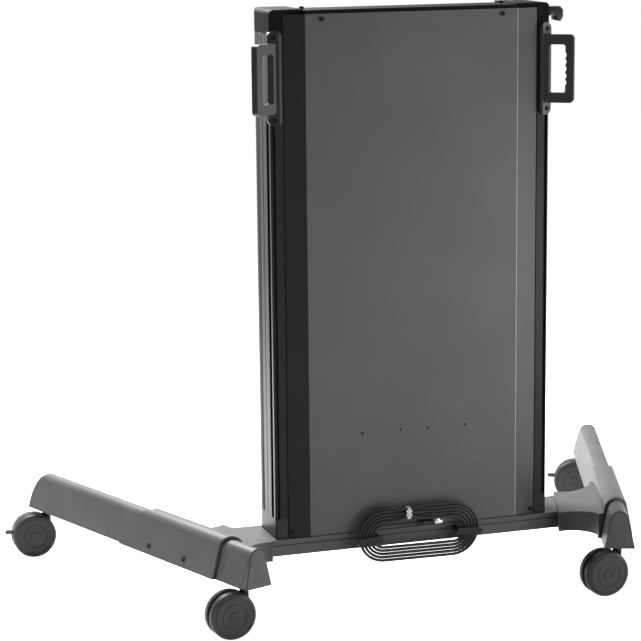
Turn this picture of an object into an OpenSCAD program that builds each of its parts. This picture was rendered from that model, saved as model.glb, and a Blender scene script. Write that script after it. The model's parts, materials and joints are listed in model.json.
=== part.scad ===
// Motorized display cart: a two-upright column on a crossbar between two splayed legs,
// four swivelling twin-wheel casters, a lifting carriage in front and a coiled supply cord behind.
// Millimetres, +Z up, the floor at z = 0. The display side is -Y, the photographed rear is +Y.
// "left" is +X and "right" is -X, as seen from behind. The origin lies under the column's centre.

/* [Column] */
// Width over both uprights
column_w = 620; // [600:5:640]
// Depth from the front faces to the rear faces of the uprights
column_d = 124; // [120:1:130]
// Width of one upright
upright_w = 74; // [72:1:78]
// Height of the top edge above the floor
column_top_z = 1269; // [1260:1:1290]
// Height of the caps on the uprights
cap_h = 49; // [46:1:52]
// Height of the dark foot pieces
foot_h = 44; // [36:1:50]
// Radius of the rounded front outer corner
corner_r = 24; // [22:1:26]
// Half width of the flat middle panel of the rear cover
panel_half = 235; // [225:1:240]
// Half width of the whole rear cover
cover_half = 281; // [279:1:283]
// How far the middle panel stands behind the uprights
panel_proud = 7.2; // [5:0.1:9]

/* [Lift] */
// Stroke of the carriage
stroke = 400; // [300:10:405]
// Horizontal and vertical spacing of the display's bolts
display_pattern = 400; // [300:100:400]
// Diameter of the actuator's outer tube
actuator_d = 44; // [40:1:46]
// Diameter of the actuator's rod
rod_d = 24; // [20:1:26]
// Diameter of the two actuator pins
pin_d = 10; // [8:0.5:12]

/* [Base] */
// Distance of a leg's reference point from the middle plane
leg_x = 453; // [448:1:458]
// Distance of that point behind the column's centre
leg_y = 108.5; // [106:0.5:111]
// Splay of each leg
splay = 20; // [19:0.5:21]
// Height of the leg undersides above the floor
leg_z = 113; // [112:0.5:120]
// Length of a leg in front of its reference point
leg_front = 697; // [680:1:720]
// Length of a leg behind its reference point
leg_rear = 145; // [144:0.5:150]
// Height of a leg's flat sides
leg_side_h = 70; // [66:1:74]
// Half width of a leg at its underside
leg_half = 33; // [32:0.5:34]
// Height of the crossbar
bar_h = 35; // [33:1:36]
// Height of the crossbar's top above the floor
bar_top_z = 156; // [154:0.5:157]

/* [Casters] */
// Wheel diameter
wheel_d = 100; // [96:1:101]
// Width over both wheels of a caster
caster_w = 52; // [50:1:56]
// Trail of the wheels behind the swivel axis
trail = 31.5; // [30:0.5:33]
// Rest angle of the rear left caster
turn_rear_left = 6.4; // [-180:0.1:180]
// Rest angle of the rear right caster
turn_rear_right = 1.7; // [-180:0.1:180]
// Rest angle of the front left caster
turn_front_left = -0.9; // [-180:0.1:180]
// Rest angle of the front right caster
turn_front_right = -24; // [-180:0.1:180]

/* [Cord] */
// Outer diameter of the supply cord
cord_d = 6.5; // [6:0.1:6.6]
// Number of turns of the coil
hank_turns = 5.12; // [5.1:0.01:5.12]
// Radius of the outermost turn's ends
hank_r = 60; // [59:0.5:62]
// Distance between neighbouring turns
hank_pitch = 7.2; // [7.2:0.05:7.4]

/* [Hidden] */
// Shared fits and small sizes
$fn = 48;
over = 1;
joint_overlap = 2;
fit_gap = 0.3;
snug_gap = 0.05;
run_gap = 0.05;
slide_gap = 0.5;
edge = 2;
// Column
half_w = column_w / 2;
half_d = column_d / 2;
upright_in = half_w - upright_w;
upright_bottom_z = bar_top_z + foot_h;
cap_z = column_top_z - cap_h;
rear_corner_r = 3;
cap_corner_r = 10;
wall = 4;
rebate = 2.5;
strip_x = cover_half + edge;
// Slots of the upright
rear_slot_x = 300;
rear_slot_w = 6.7;
rear_slot_depth = 7;
side_slot_y = 34.5;
side_slot_w = 16.5;
side_slot_depth = 12;
fine_groove_y = 6.5;
fine_groove_w = 2;
low_groove_y = -17;
chamber_y = -32;
chamber_step_y = 28;
chamber_rear_y = 54;
chamber_rear_x = 294;
// Front channel for the guide blocks
channel_x = 269;
channel_slot_w = 14;
channel_w = 33;
channel_depth = 26;
channel_lip = 4;
// Rear cover and its screws
sheet = 2;
cover_bottom_z = bar_top_z + edge;
cover_top_z = column_top_z - 10;
panel_y = half_d + panel_proud;
cover_hole_r = 2.5;
cover_hole_z = 373;
hole_outer_pitch = 234;
hole_inner_pitch = 61;
top_screw_x = 200;
top_screw_z = column_top_z - 20.5;
bevel_screw_x = 274;
bevel_screw_z = bar_top_z + 11.5;
// Front cover and the lower crossmember
front_cover_top_z = 650;
front_cover_y = -half_d + edge;
front_gap = 3;
mid_bar_z = 560;
mid_bar_h = 40;
mid_bar_d = 28;
// Top crossmember and the screws in it
top_bar_d = 90;
stud_inner_x = 222;
stud_outer_x = 246;
stud_y = 6;
stud_r = 5;
stud_h = 2.5;
// Handles
handle_z = 1130;
handle_base_h = 196;
handle_base_in = 286;
handle_base_t = 9;
handle_seat_t = 1.5;
handle_seat_r = 5.5;
handle_wrap = 4.5;
handle_wrap_y = 50;
handle_bow_turn = 33;
handle_bow_y = 68;
handle_bow_root = 9;
handle_bow_h = 144;
handle_bow_w = 52;
handle_bow_t = 15;
handle_bow_r = 9;
handle_opening_h = 102;
handle_opening_w = 34;
handle_opening_r = 5;
finger_r = 9;
finger_depth = 2.5;
finger_count = 7;
finger_pitch = handle_opening_h / finger_count;
handle_screw_x = 303.3;
handle_screw_z = 84.5;
// Side hook at the top of the right side
side_hook_y = 38;
side_hook_w = 22;
side_hook_z = column_top_z - 10;
side_hook_reach = 37;
side_hook_t = 10;
side_hook_end_w = 13;
side_hook_drop = 25;
side_hook_plate_h = 32;
// Screw shapes
screw_r = 3;
head_r = 5;
head_h = 2.5;
socket_r = 2.2;
// Actuator
actuator_y = 5;
pin_low_z = 190;
pin_high_z = 790;
ear_t = 5;
ear_half = 16;
ear_w = 40;
ear_r = 20;
gearbox_z = 210;
gearbox_h = 45;
gearbox_w = 56;
motor_r = 25;
motor_x = 56;
motor_h = 135;
tube_top_z = 745;
tube_wall = 5;
tube_collar_h = 25;
rod_bottom_z = 290;
pin_length = 2 * (ear_half + ear_t) + 6;
bracket_t = 5;
bracket_w = 90;
bracket_d = 60;
// Carriage
carriage_gap = 4;
post_w = 28;
post_d = 24;
post_bottom_z = 640;
post_top_z = 1190;
rail_h = 40;
rail_d = 24;
rail_low_z = 800;
rail_high_z = 1140;
tube_t = 3;
arm_z = 770;
arm_h = 42;
arm_w = 40;
block_h = 60;
block_z = [650, 750];
arm_bracket_w = 40;
arm_bracket_d = 24;
arm_bracket_t = 3;
arm_bracket_z = 780;
arm_bracket_h = 460;
tab_h = 30;
tab_t = 3;
display_z = 1010;
display_hole_r = 4.25;
display_slot_l = 20;
bracket_screw_r = 4;
bracket_head_r = 6.5;
bracket_head_h = 4;
post_front_y = -half_d - carriage_gap - post_d;
rail_front_y = post_front_y - rail_d;
// Controls
panel_z = 1020;
panel_h = 110;
panel_yc = -33;
panel_w = 46;
panel_d = 17;
button_r = 9;
button_pitch = 44;
button_proud = 2.5;
button_depth = 8;
button_travel = 1.5;
box_w = 120;
box_d = 58;
box_h = 100;
box_x = -130;
box_z = 530;
// Base
bar_front_y = -57;
bar_rear_y = 69;
bar_end_x = 398;
bar_wall = 3;
bar_groove_z = bar_top_z - 13;
bar_groove_h = 2.5;
bar_groove_depth = 2;
bar_z = bar_top_z - bar_h;
bar_screw_x = 287;
bar_screw_y = 40;
leg_edge_half = leg_half - 15;
leg_edge_z = leg_z + leg_side_h;
leg_rise = 12;
leg_wall = 3;
leg_rear_top = 139.5;
leg_rear_low = 126.6;
leg_rear_cap_top = 142;
nose_r = 103;
nose_cap_t = 3;
nose_plug_angle = 38;
nose_plug_w = 28;
nose_plug_l = 14;
nose_plug_h = 12;
rear_plug = 15;
rear_plug_tip = 7.5;
sleeve_grow = 6;
sleeve_rise = 16;
sleeve_front_low = 313;
sleeve_front_edge = 272;
sleeve_front_ridge = 224;
sleeve_rear_y = 155;
collar_t = 2.6;
collar_depth = 14;
collar_proud = 1.5;
hub_screw_a = [72, 201];
hub_screw_z = 131;
hub_seat_x = 32.8;
hub_seat_r = 5.5;
arm_in = 122;
arm_top_z = bar_top_z + 6;
arm_bottom_z = bar_z - 2;
arm_front_r = 65;
arm_front_a = 207;
arm_rear_r = 57;
arm_rear_a = -80;
arm_flat = 16;
arm_fillet_in = 30;
lip_gap = 2.5;
hub_low_screw_x = 372;
hub_low_screw_y = 35;
// Casters
caster_rear_a = -92.8;
caster_front_a = 673;
wheel_r = wheel_d / 2;
web_half = 5.4;
wheel_gap = 6;
boss_r = 10;
stem_r = 5;
socket_flange_r = 13;
socket_barrel_r = 10;
socket_flange_t = 3;
socket_depth = 39;
boss_top_z = leg_z - socket_flange_t - slide_gap;
stem_top_z = leg_z + socket_depth - 2;
web_r = 46;
web_clear = 1.5;
axle_r = 4;
shoulder = 5;
dome = 2;
dome_sides = 720;
ring_r = 9;
ring_w = 1.5;
ring_h = 0.6;
wheel_face = caster_w / 2 - dome;
dome_r = ((wheel_r - shoulder) * (wheel_r - shoulder) + dome * dome) / (2 * dome);
// Brake of the front casters
brake_angle = 100;
brake_pivot_r = 40;
brake_ear_r = 7;
brake_ear_half = 2;
brake_pin_r = 2;
brake_in = 44.5;
brake_out = 50.5;
brake_from = 5;
brake_to = 103;
brake_half = 5;
brake_notch_r = 32;
tab_z = 10;
tab_reach = 65.5;
tab_half = 4;
// Cord hooks, gland, plug and tie
hank_y = 95;
hank_z = 150;
hank_end_x = 79;
hank_waist_x = 24;
hank_waist_w = 46;
hank_waist_y = 4;
hank_waist_share = 0.5;
hank_waist_mid = 41.3;
hank_waist_rise = 3.7;
hank_drop = 2.5;
hank_drop_from = 4.85;
hank_rings = 24;
hank_sides = 6;
hank_share_straight = 0.27;
hank_share_round = 0.23;
hook_x = 92;
hook_z = 146;
hook_stem_r = 6.5;
hook_flange_r = 11;
hook_flange_t = 3;
hook_finger_y = 103;
hook_finger_t = 4;
hook_finger_h = 16;
hook_finger_end = 140;
hook_slant = -4;
gland_x = 118;
gland_y = 80;
gland_z = 126;
gland_top_z = 152;
gland_body_r = 8;
gland_body_h = 14;
gland_tip_r = cord_d / 2 + 1.2;
lead_route = [[118, 80, 152], [122, 80, 192], [112, 94, 212]];
lead_rings = 20;
lead_sides = 8;
plug_cone_l = 14;
plug_body_l = 30;
plug_body_w = 20;
plug_body_h = 10;
blade_l = 15;
blade_h = 6.3;
blade_t = 1.5;
blade_pitch = 12.7;
tie_x = 24;
tie_w = 7;
tie_t = 1.3;
tie_turns = 5;
tie_gap = 1;
tie_low_gap = 2.2;

// Placement helpers
module on_side(side) {
  if (side > 0) children();
  else mirror([1, 0, 0]) children();
}

// Leg frame: x outward, -y along the leg towards the front, z up
module at_leg(side) {
  on_side(side) translate([leg_x, leg_y, 0]) rotate([0, 0, splay]) children();
}

// Extrudes an outline given in (outward, height) from one distance along the leg to another
module along_leg(from, to) {
  translate([0, -from, 0]) rotate([90, 0, 0]) linear_extrude(to - from) children();
}

// Extrudes an outline given in (along, height) across the leg
module across_leg(width) {
  rotate([90, 0, -90]) translate([0, 0, -width / 2]) linear_extrude(width) children();
}

// Extrudes an outline given in (x, z) from one y to a larger one
module along_y(from, to) {
  translate([0, to, 0]) rotate([90, 0, 0]) linear_extrude(to - from) children();
}

module box_between(low, high) {
  translate(low) cube([high[0] - low[0], high[1] - low[1], high[2] - low[2]]);
}

module rounded_rect(w, h, r) {
  union() {
    square([w - 2 * r, h], center = true);
    square([w, h - 2 * r], center = true);
    for (sx = [-1, 1], sy = [-1, 1])
      translate([sx * (w / 2 - r), sy * (h / 2 - r)]) circle(r);
  }
}

// Screw with a round head on the plane z = 0, its shank pointing down
module screw(shank_r, shank_l, top_r, top_h) {
  difference() {
    union() {
      cylinder(r = top_r, h = top_h);
      translate([0, 0, -shank_l]) cylinder(r = shank_r, h = shank_l + top_h / 2);
    }
    translate([0, 0, top_h / 2]) cylinder(r = socket_r, h = top_h, $fn = 6);
  }
}

// Section of a leg: a trapezoid with an arched top
module arched_section(bottom_half, edge_half, low_z, edge_z, rise) {
  r = (edge_half * edge_half + rise * rise) / (2 * rise);
  union() {
    polygon([[-bottom_half, low_z], [bottom_half, low_z], [edge_half, edge_z],
      [-edge_half, edge_z]]);
    intersection() {
      translate([0, edge_z + rise - r]) circle(r);
      translate([-edge_half, edge_z - joint_overlap])
        square([2 * edge_half, rise + 2 * joint_overlap]);
    }
  }
}

module leg_section(grow) {
  lean = (leg_half - leg_edge_half) / leg_side_h;
  down = grow > 0 ? over : grow;
  arched_section(leg_half + grow + lean * down, leg_edge_half + grow, leg_z - down,
    leg_edge_z, leg_rise + grow);
}

// Side view of a leg between its rear seam and its rounded nose
module leg_side(nose) {
  top_z = leg_edge_z + leg_rise + sleeve_rise;
  nose_a = leg_front - nose_r;
  union() {
    polygon([[-leg_rear_low, leg_z - over], [nose_a + joint_overlap, leg_z - over],
      [nose_a + joint_overlap, top_z], [-leg_rear_top, top_z], [-leg_rear_top, leg_edge_z]]);
    intersection() {
      translate([nose_a, leg_z]) circle(nose);
      translate([nose_a, leg_z - over]) square([nose_r + over, nose_r + over]);
    }
  }
}

module leg(side) {
  difference() {
    at_leg(side) intersection() {
      difference() {
        along_leg(-leg_rear - over, leg_front + over) leg_section(0);
        along_leg(-leg_rear - 2 * over, leg_front + 2 * over) leg_section(-leg_wall);
      }
      across_leg(4 * leg_half) leg_side(nose_r - nose_cap_t);
    }
    for (a = [caster_rear_a, caster_front_a])
      at_leg(side) translate([0, -a, leg_z - over])
        cylinder(r = socket_barrel_r, h = leg_wall + 2 * over);
    for (a = hub_screw_a)
      at_leg(side) translate([0, -a, hub_screw_z]) rotate([0, 90, 0])
        cylinder(r = screw_r, h = 2 * leg_half);
  }
}

module nose_ring(outer, inner) {
  nose_a = leg_front - nose_r;
  difference() {
    intersection() {
      translate([nose_a, leg_z]) circle(outer);
      translate([nose_a + joint_overlap, leg_z - over]) square([nose_r + over, nose_r + over]);
    }
    translate([nose_a, leg_z]) circle(inner);
  }
}

module leg_cap_front(side) {
  nose_a = leg_front - nose_r;
  at_leg(side) union() {
    intersection() {
      along_leg(nose_a, leg_front + over) leg_section(0);
      across_leg(4 * leg_half) nose_ring(nose_r, nose_r - nose_cap_t);
    }
    translate([0, -nose_a, leg_z]) rotate([-nose_plug_angle, 0, 0])
      translate([-nose_plug_w / 2, nose_cap_t / 2 - nose_r, -nose_plug_h / 2])
      cube([nose_plug_w, nose_plug_l, nose_plug_h]);
  }
}

module leg_cap_rear(side) {
  low = leg_z;
  high = leg_edge_z;
  top = leg_edge_z + leg_rise + over;
  at_leg(side) union() {
    intersection() {
      along_leg(-leg_rear - over, 0) leg_section(0);
      across_leg(4 * leg_half) polygon([[-leg_rear_low, low - over], [-leg_rear_top, high],
        [-leg_rear_top, top], [-leg_rear_cap_top, top], [-leg_rear, low],
        [-leg_rear, low - over]]);
    }
    intersection() {
      along_leg(-leg_rear_top, -leg_rear_low + rear_plug)
        leg_section(-leg_wall - fit_gap);
      across_leg(4 * leg_half) polygon([[-leg_rear_low - joint_overlap, low],
        [-leg_rear_top - joint_overlap / 2, high], [-leg_rear_top + rear_plug_tip, high],
        [-leg_rear_low + rear_plug_tip, low]]);
    }
  }
}

// The cast hub. A sleeve follows the arched leg, an arm with concave front and rear edges
// rises from the crossbar and blends into the sleeve's ridge.
module hub_body() {
  ridge_z = leg_edge_z + sleeve_grow / 2 + sleeve_rise;
  intersection() {
    along_leg(-2 * leg_half - over, sleeve_front_low + over)
      arched_section(leg_half + sleeve_grow, leg_edge_half + sleeve_grow, leg_z,
        leg_edge_z + sleeve_grow / 2, sleeve_rise);
    across_leg(4 * leg_half) polygon([[-2 * leg_half, leg_z - over],
      [sleeve_front_low, leg_z - over], [sleeve_front_low, leg_z],
      [sleeve_front_edge, leg_edge_z + sleeve_grow / 2], [sleeve_front_ridge, ridge_z + over],
      [-2 * leg_half, ridge_z + over]]);
  }
}

module arm_plan() {
  difference() {
    translate([-arm_in, -arm_front_a]) square([arm_in, arm_front_a - arm_rear_a]);
    translate([-leg_half - sleeve_grow + joint_overlap * 2 - arm_front_r, -arm_front_a])
      circle(arm_front_r);
    translate([-leg_half - sleeve_grow + joint_overlap * 2 - arm_rear_r, -arm_rear_a])
      circle(arm_rear_r);
  }
}

// Side view of the arm in (outward, height): flat over the crossbar, then a rising curve
module arm_rise() {
  end_x = -leg_edge_half * 0.5;
  end_z = leg_edge_z + sleeve_grow / 2 + sleeve_rise * 0.72;
  start_x = -arm_in + arm_flat;
  run = end_x - start_x;
  rise = end_z - arm_top_z;
  fillet = (run * run + rise * rise) / (2 * rise);
  difference() {
    polygon([[-arm_in - over, arm_bottom_z], [0, arm_bottom_z], [0, end_z], [end_x, end_z],
      [start_x, end_z], [start_x, arm_top_z], [-arm_in - over, arm_top_z]]);
    translate([start_x, arm_top_z + fillet * 3]) circle(fillet * 3, $fn = dome_sides);
    polygon([[start_x, end_z + over], [start_x, arm_top_z + over],
      [end_x - run * 0.02, end_z + over]]);
  }
}

module hub(side) {
  difference() {
    intersection() {
      at_leg(side) union() {
        hub_body();
        intersection() {
          linear_extrude(leg_edge_z + 2 * sleeve_rise) arm_plan();
          along_leg(-arm_front_a, arm_front_a + over) arm_rise();
        }
      }
      translate([-column_w, -column_w, 0])
        cube([2 * column_w, column_w + sleeve_rear_y, column_w]);
    }
    at_leg(side) along_leg(-leg_rear - over, sleeve_front_low + 2 * over) leg_section(snug_gap);
    intersection() {
      at_leg(side) along_leg(-leg_rear - over, leg_rear) leg_section(collar_t + snug_gap);
      translate([-column_w, sleeve_rear_y - collar_depth, 0])
        cube([2 * column_w, collar_depth + over, column_w]);
    }
    box_between([-bar_end_x, bar_front_y - lip_gap, bar_z], [bar_end_x, bar_rear_y, bar_top_z]);
    for (a = hub_screw_a)
      at_leg(side) translate([0, -a, hub_screw_z]) rotate([0, 90, 0]) {
        cylinder(r = screw_r, h = 2 * leg_half);
        translate([0, 0, hub_seat_x]) cylinder(r = hub_seat_r, h = leg_half);
      }
    on_side(side) translate([hub_low_screw_x, hub_low_screw_y, leg_z - over])
      cylinder(r = screw_r, h = bar_h);
  }
}

module hub_collar(side) {
  difference() {
    intersection() {
      at_leg(side) along_leg(-leg_rear + over, leg_rear) difference() {
        leg_section(collar_t + snug_gap);
        translate([0, -2 * leg_z]) square([4 * leg_half, 6 * leg_z], center = true);
      }
      translate([-column_w, sleeve_rear_y - collar_depth, 0])
        cube([2 * column_w, collar_depth + collar_proud, column_w]);
    }
    at_leg(side) along_leg(-leg_rear - over, leg_rear + over) leg_section(snug_gap);
  }
}

module hub_screw_set(side) {
  for (a = hub_screw_a)
    at_leg(side) translate([hub_seat_x, -a, hub_screw_z])
      rotate([0, 90, 0]) screw(screw_r, leg_half / 2, head_r, head_h);
  on_side(side) translate([hub_low_screw_x, hub_low_screw_y, arm_bottom_z])
    rotate([180, 0, 0]) screw(screw_r, bar_z - arm_bottom_z + bar_wall, head_r, head_h);
}

module crossbar_shape() {
  difference() {
    box_between([-bar_end_x, bar_front_y, bar_z], [bar_end_x, bar_rear_y, bar_top_z]);
    box_between([-bar_end_x - over, bar_front_y + bar_wall, bar_z + bar_wall],
      [bar_end_x + over, bar_rear_y - bar_wall - bar_groove_depth, bar_top_z - bar_wall]);
    box_between([-bar_end_x - over, bar_rear_y - bar_groove_depth, bar_groove_z],
      [bar_end_x + over, bar_rear_y + over, bar_groove_z + bar_groove_h]);
    for (side = [-1, 1]) on_side(side) {
      for (y = [-bar_screw_y, bar_screw_y])
        translate([bar_screw_x, y, bar_z - over]) cylinder(r = screw_r, h = bar_h + 2 * over);
      translate([hub_low_screw_x, hub_low_screw_y, bar_z - over])
        cylinder(r = screw_r, h = bar_wall + 2 * over);
    }
  }
}

module crossbar_screw_set() {
  for (side = [-1, 1], y = [-bar_screw_y, bar_screw_y])
    on_side(side) translate([bar_screw_x, y, bar_z]) rotate([180, 0, 0])
      screw(screw_r, bar_h + foot_h / 3, head_r, head_h);
}

module caster_socket(side, a) {
  at_leg(side) translate([0, -a, leg_z]) difference() {
    union() {
      translate([0, 0, -socket_flange_t]) cylinder(r = socket_flange_r, h = socket_flange_t);
      cylinder(r = socket_barrel_r, h = socket_depth);
    }
    translate([0, 0, -socket_flange_t - over])
      cylinder(r = stem_r + run_gap, h = socket_depth + socket_flange_t + 2 * over);
  }
}

// Outline of an upright in plan, left side
module upright_outline() {
  union() {
    difference() {
      translate([upright_in, -half_d]) square([upright_w, column_d]);
      translate([half_w - corner_r, -half_d - over]) square([corner_r + over, corner_r + over]);
      translate([half_w - rear_corner_r, half_d - rear_corner_r])
        square([rear_corner_r + over, rear_corner_r + over]);
      translate([upright_in - over, half_d - rebate])
        square([strip_x - upright_in + over, rebate + over]);
    }
    translate([half_w - corner_r, -half_d + corner_r]) circle(corner_r);
    translate([half_w - rear_corner_r, half_d - rear_corner_r]) circle(rear_corner_r);
  }
}

module upright_plan() {
  slot_y = half_d - rear_slot_depth;
  difference() {
    upright_outline();
    translate([upright_in + wall, chamber_y])
      square([upright_w - 2 * wall, chamber_step_y - chamber_y]);
    translate([upright_in + wall, chamber_step_y - over])
      square([chamber_rear_x - upright_in - wall, chamber_rear_y - chamber_step_y + over]);
    translate([rear_slot_x, slot_y]) square([rear_slot_w, rear_slot_depth + over]);
    translate([half_w - side_slot_depth, side_slot_y])
      square([side_slot_depth + over, side_slot_w]);
    translate([half_w - fine_groove_w, fine_groove_y])
      square([fine_groove_w + over, fine_groove_w]);
    translate([half_w - fine_groove_w / 2, low_groove_y])
      square([fine_groove_w + over, fine_groove_w]);
    translate([channel_x - channel_slot_w / 2, -half_d - over])
      square([channel_slot_w, channel_lip + 2 * over]);
    translate([channel_x - channel_w / 2, -half_d + channel_lip])
      square([channel_w, channel_depth - channel_lip]);
  }
}

module upright(side) {
  on_side(side) translate([0, 0, upright_bottom_z])
    linear_extrude(cap_z - upright_bottom_z) upright_plan();
}

module upright_foot(side) {
  on_side(side) difference() {
    translate([0, 0, bar_top_z]) linear_extrude(foot_h) upright_outline();
    for (y = [-bar_screw_y, bar_screw_y])
      translate([bar_screw_x, y, bar_top_z - over]) cylinder(r = screw_r, h = foot_h / 3 + over);
    translate([bevel_screw_x, half_d - rebate + over, bevel_screw_z]) rotate([90, 0, 0])
      cylinder(r = screw_r, h = foot_h / 3);
  }
}

// Cap over an upright: rounded towards the outer side, with a screw seat on top
module top_cap(side) {
  on_side(side) difference() {
    intersection() {
      translate([0, 0, cap_z]) linear_extrude(cap_h) upright_outline();
      along_y(-half_d - over, half_d + over) union() {
        translate([upright_in, cap_z]) square([upright_w - cap_corner_r, cap_h]);
        translate([upright_in, cap_z]) square([upright_w, cap_h - cap_corner_r]);
        translate([half_w - cap_corner_r, column_top_z - cap_corner_r]) circle(cap_corner_r);
      }
    }
    translate([stud_outer_x, stud_y, column_top_z - wall]) cylinder(r = screw_r, h = wall + over);
    translate([upright_in + wall, chamber_y, cap_z - over])
      cube([upright_w - 3 * wall - cap_corner_r, chamber_rear_y - chamber_y, cap_h - wall]);
  }
}

module top_crossmember_shape() {
  rear_y = panel_y - sheet;
  difference() {
    box_between([-upright_in, rear_y - top_bar_d, cap_z + edge],
      [upright_in, rear_y, column_top_z - edge]);
    box_between([-upright_in + wall, rear_y - top_bar_d + wall, cap_z],
      [upright_in - wall, rear_y - wall, column_top_z - edge - wall]);
    for (sx = [-1, 1]) on_side(sx)
      box_between([panel_half - edge, rear_y - edge, cap_z], [upright_in + over, rear_y + over,
        column_top_z]);
    for (sx = [-1, 1]) {
      translate([sx * stud_inner_x, stud_y, column_top_z - 2 * wall])
        cylinder(r = screw_r, h = 2 * wall);
      translate([sx * top_screw_x, rear_y + over, top_screw_z]) rotate([90, 0, 0])
        cylinder(r = screw_r, h = wall + 2 * over);
    }
  }
}

module top_screw_set() {
  for (sx = [-1, 1]) {
    translate([sx * stud_inner_x, stud_y, column_top_z - edge])
      screw(screw_r, wall, stud_r, stud_h + edge);
    translate([sx * stud_outer_x, stud_y, column_top_z])
      screw(screw_r, wall, stud_r, stud_h / 2);
  }
}

module cover_outline() {
  polygon([[-cover_half, half_d], [-panel_half, panel_y], [panel_half, panel_y],
    [cover_half, half_d], [cover_half, half_d - sheet], [panel_half, panel_y - sheet],
    [-panel_half, panel_y - sheet], [-cover_half, half_d - sheet]]);
}

module rear_cover_shape() {
  difference() {
    translate([0, 0, cover_bottom_z]) linear_extrude(cover_top_z - cover_bottom_z)
      cover_outline();
    for (sx = [-1, 1]) {
      for (x = [hole_outer_pitch / 2, hole_inner_pitch / 2])
        translate([sx * x, panel_y + over, cover_hole_z]) rotate([90, 0, 0])
          cylinder(r = cover_hole_r, h = sheet + 2 * over);
      translate([sx * top_screw_x, panel_y + over, top_screw_z]) rotate([90, 0, 0])
        cylinder(r = screw_r, h = sheet + 2 * over);
      translate([sx * bevel_screw_x, panel_y + over, bevel_screw_z]) rotate([90, 0, 0])
        cylinder(r = screw_r, h = panel_proud + sheet + 2 * over);
    }
  }
}

module cover_screw_set() {
  bevel_y = half_d + panel_proud * (cover_half - bevel_screw_x + head_r)
    / (cover_half - panel_half);
  for (sx = [-1, 1]) {
    translate([sx * top_screw_x, panel_y, top_screw_z]) rotate([-90, 0, 0])
      screw(screw_r, sheet + wall, head_r, head_h);
    translate([sx * bevel_screw_x, bevel_y, bevel_screw_z]) rotate([-90, 0, 0])
      screw(screw_r, foot_h / 4, head_r, head_h);
  }
}

module front_cover_shape() {
  x = upright_in - front_gap;
  difference() {
    box_between([-x, front_cover_y, cover_bottom_z], [x, front_cover_y + mid_bar_d / 2,
      front_cover_top_z]);
    box_between([-x + sheet, front_cover_y + sheet, cover_bottom_z + sheet],
      [x - sheet, front_cover_y + mid_bar_d, front_cover_top_z - sheet]);
  }
}

module mid_crossmember_shape() {
  y = front_cover_y + sheet;
  difference() {
    union() {
      box_between([-upright_in + front_gap + sheet, y, mid_bar_z],
        [upright_in - front_gap - sheet, y + mid_bar_d, mid_bar_z + mid_bar_h]);
      box_between([-upright_in, y + mid_bar_d / 2, mid_bar_z],
        [upright_in, y + mid_bar_d, mid_bar_z + mid_bar_h]);
    }
    box_between([-upright_in - over, y + tube_t, mid_bar_z + tube_t],
      [upright_in + over, y + mid_bar_d - tube_t, mid_bar_z + mid_bar_h - tube_t]);
  }
}

module handle_bow() {
  grip_x = handle_opening_w;
  translate([half_w - over, handle_bow_y, handle_z]) rotate([90, 0, handle_bow_turn])
    translate([0, 0, -handle_bow_t / 2]) linear_extrude(handle_bow_t) difference() {
      translate([handle_bow_w / 2 - handle_bow_r / 2, 0])
        rounded_rect(handle_bow_w + handle_bow_r, handle_bow_h, handle_bow_r);
      translate([handle_opening_w / 2, 0])
        rounded_rect(handle_opening_w, handle_opening_h, handle_opening_r);
      for (i = [1 : finger_count - 2])
        translate([grip_x + finger_depth - finger_r,
          (i - (finger_count - 1) / 2) * finger_pitch]) circle(finger_r);
      translate([-handle_bow_w - handle_bow_root, -handle_bow_h])
        square([handle_bow_w, 2 * handle_bow_h]);
    }
}

module handle(side) {
  base_out = half_w + handle_wrap;
  base_w = base_out - handle_base_in;
  on_side(side) difference() {
    union() {
      intersection() {
        translate([0, 0, handle_z - handle_base_h / 2]) linear_extrude(handle_base_h)
          polygon([[handle_base_in, half_d], [half_w, half_d], [half_w, handle_wrap_y],
            [base_out, handle_wrap_y], [base_out, half_d + edge / 2],
            [handle_base_in + 3 * edge, half_d + handle_base_t],
            [handle_base_in, half_d + handle_base_t - edge]]);
        along_y(0, 2 * half_d) translate([handle_base_in + base_w / 2, handle_z])
          rounded_rect(base_w, handle_base_h, base_w / 2 - 0.01);
      }
      difference() {
        handle_bow();
        translate([0, 0, cap_z / 2]) linear_extrude(cap_z)
          translate([half_w - upright_w, -half_d]) square([upright_w, column_d]);
      }
    }
    for (s = [-1, 1])
      translate([handle_screw_x, half_d - over, handle_z + s * handle_screw_z])
        rotate([-90, 0, 0]) {
          cylinder(r = screw_r, h = 2 * handle_base_t);
          translate([0, 0, over + handle_seat_t]) cylinder(r = handle_seat_r, h = handle_base_t);
        }
  }
}

module handle_screw_set() {
  for (side = [-1, 1], s = [-1, 1])
    on_side(side) translate([handle_screw_x, half_d + handle_seat_t,
      handle_z + s * handle_screw_z]) rotate([-90, 0, 0])
      screw(screw_r, handle_seat_t + rear_slot_depth / 2, head_r, head_h);
}

module side_hook_shape() {
  x = -half_w;
  y = side_hook_y - side_hook_w / 2;
  union() {
    box_between([x - side_hook_t / 2, y, side_hook_z - side_hook_plate_h],
      [x, y + side_hook_w, side_hook_z]);
    box_between([x - side_hook_reach, y, side_hook_z - side_hook_t],
      [x, y + side_hook_w, side_hook_z]);
    box_between([x - side_hook_reach, y - edge, side_hook_z - side_hook_drop],
      [x - side_hook_reach + side_hook_end_w, y + side_hook_w + edge, side_hook_z]);
  }
}

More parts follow.
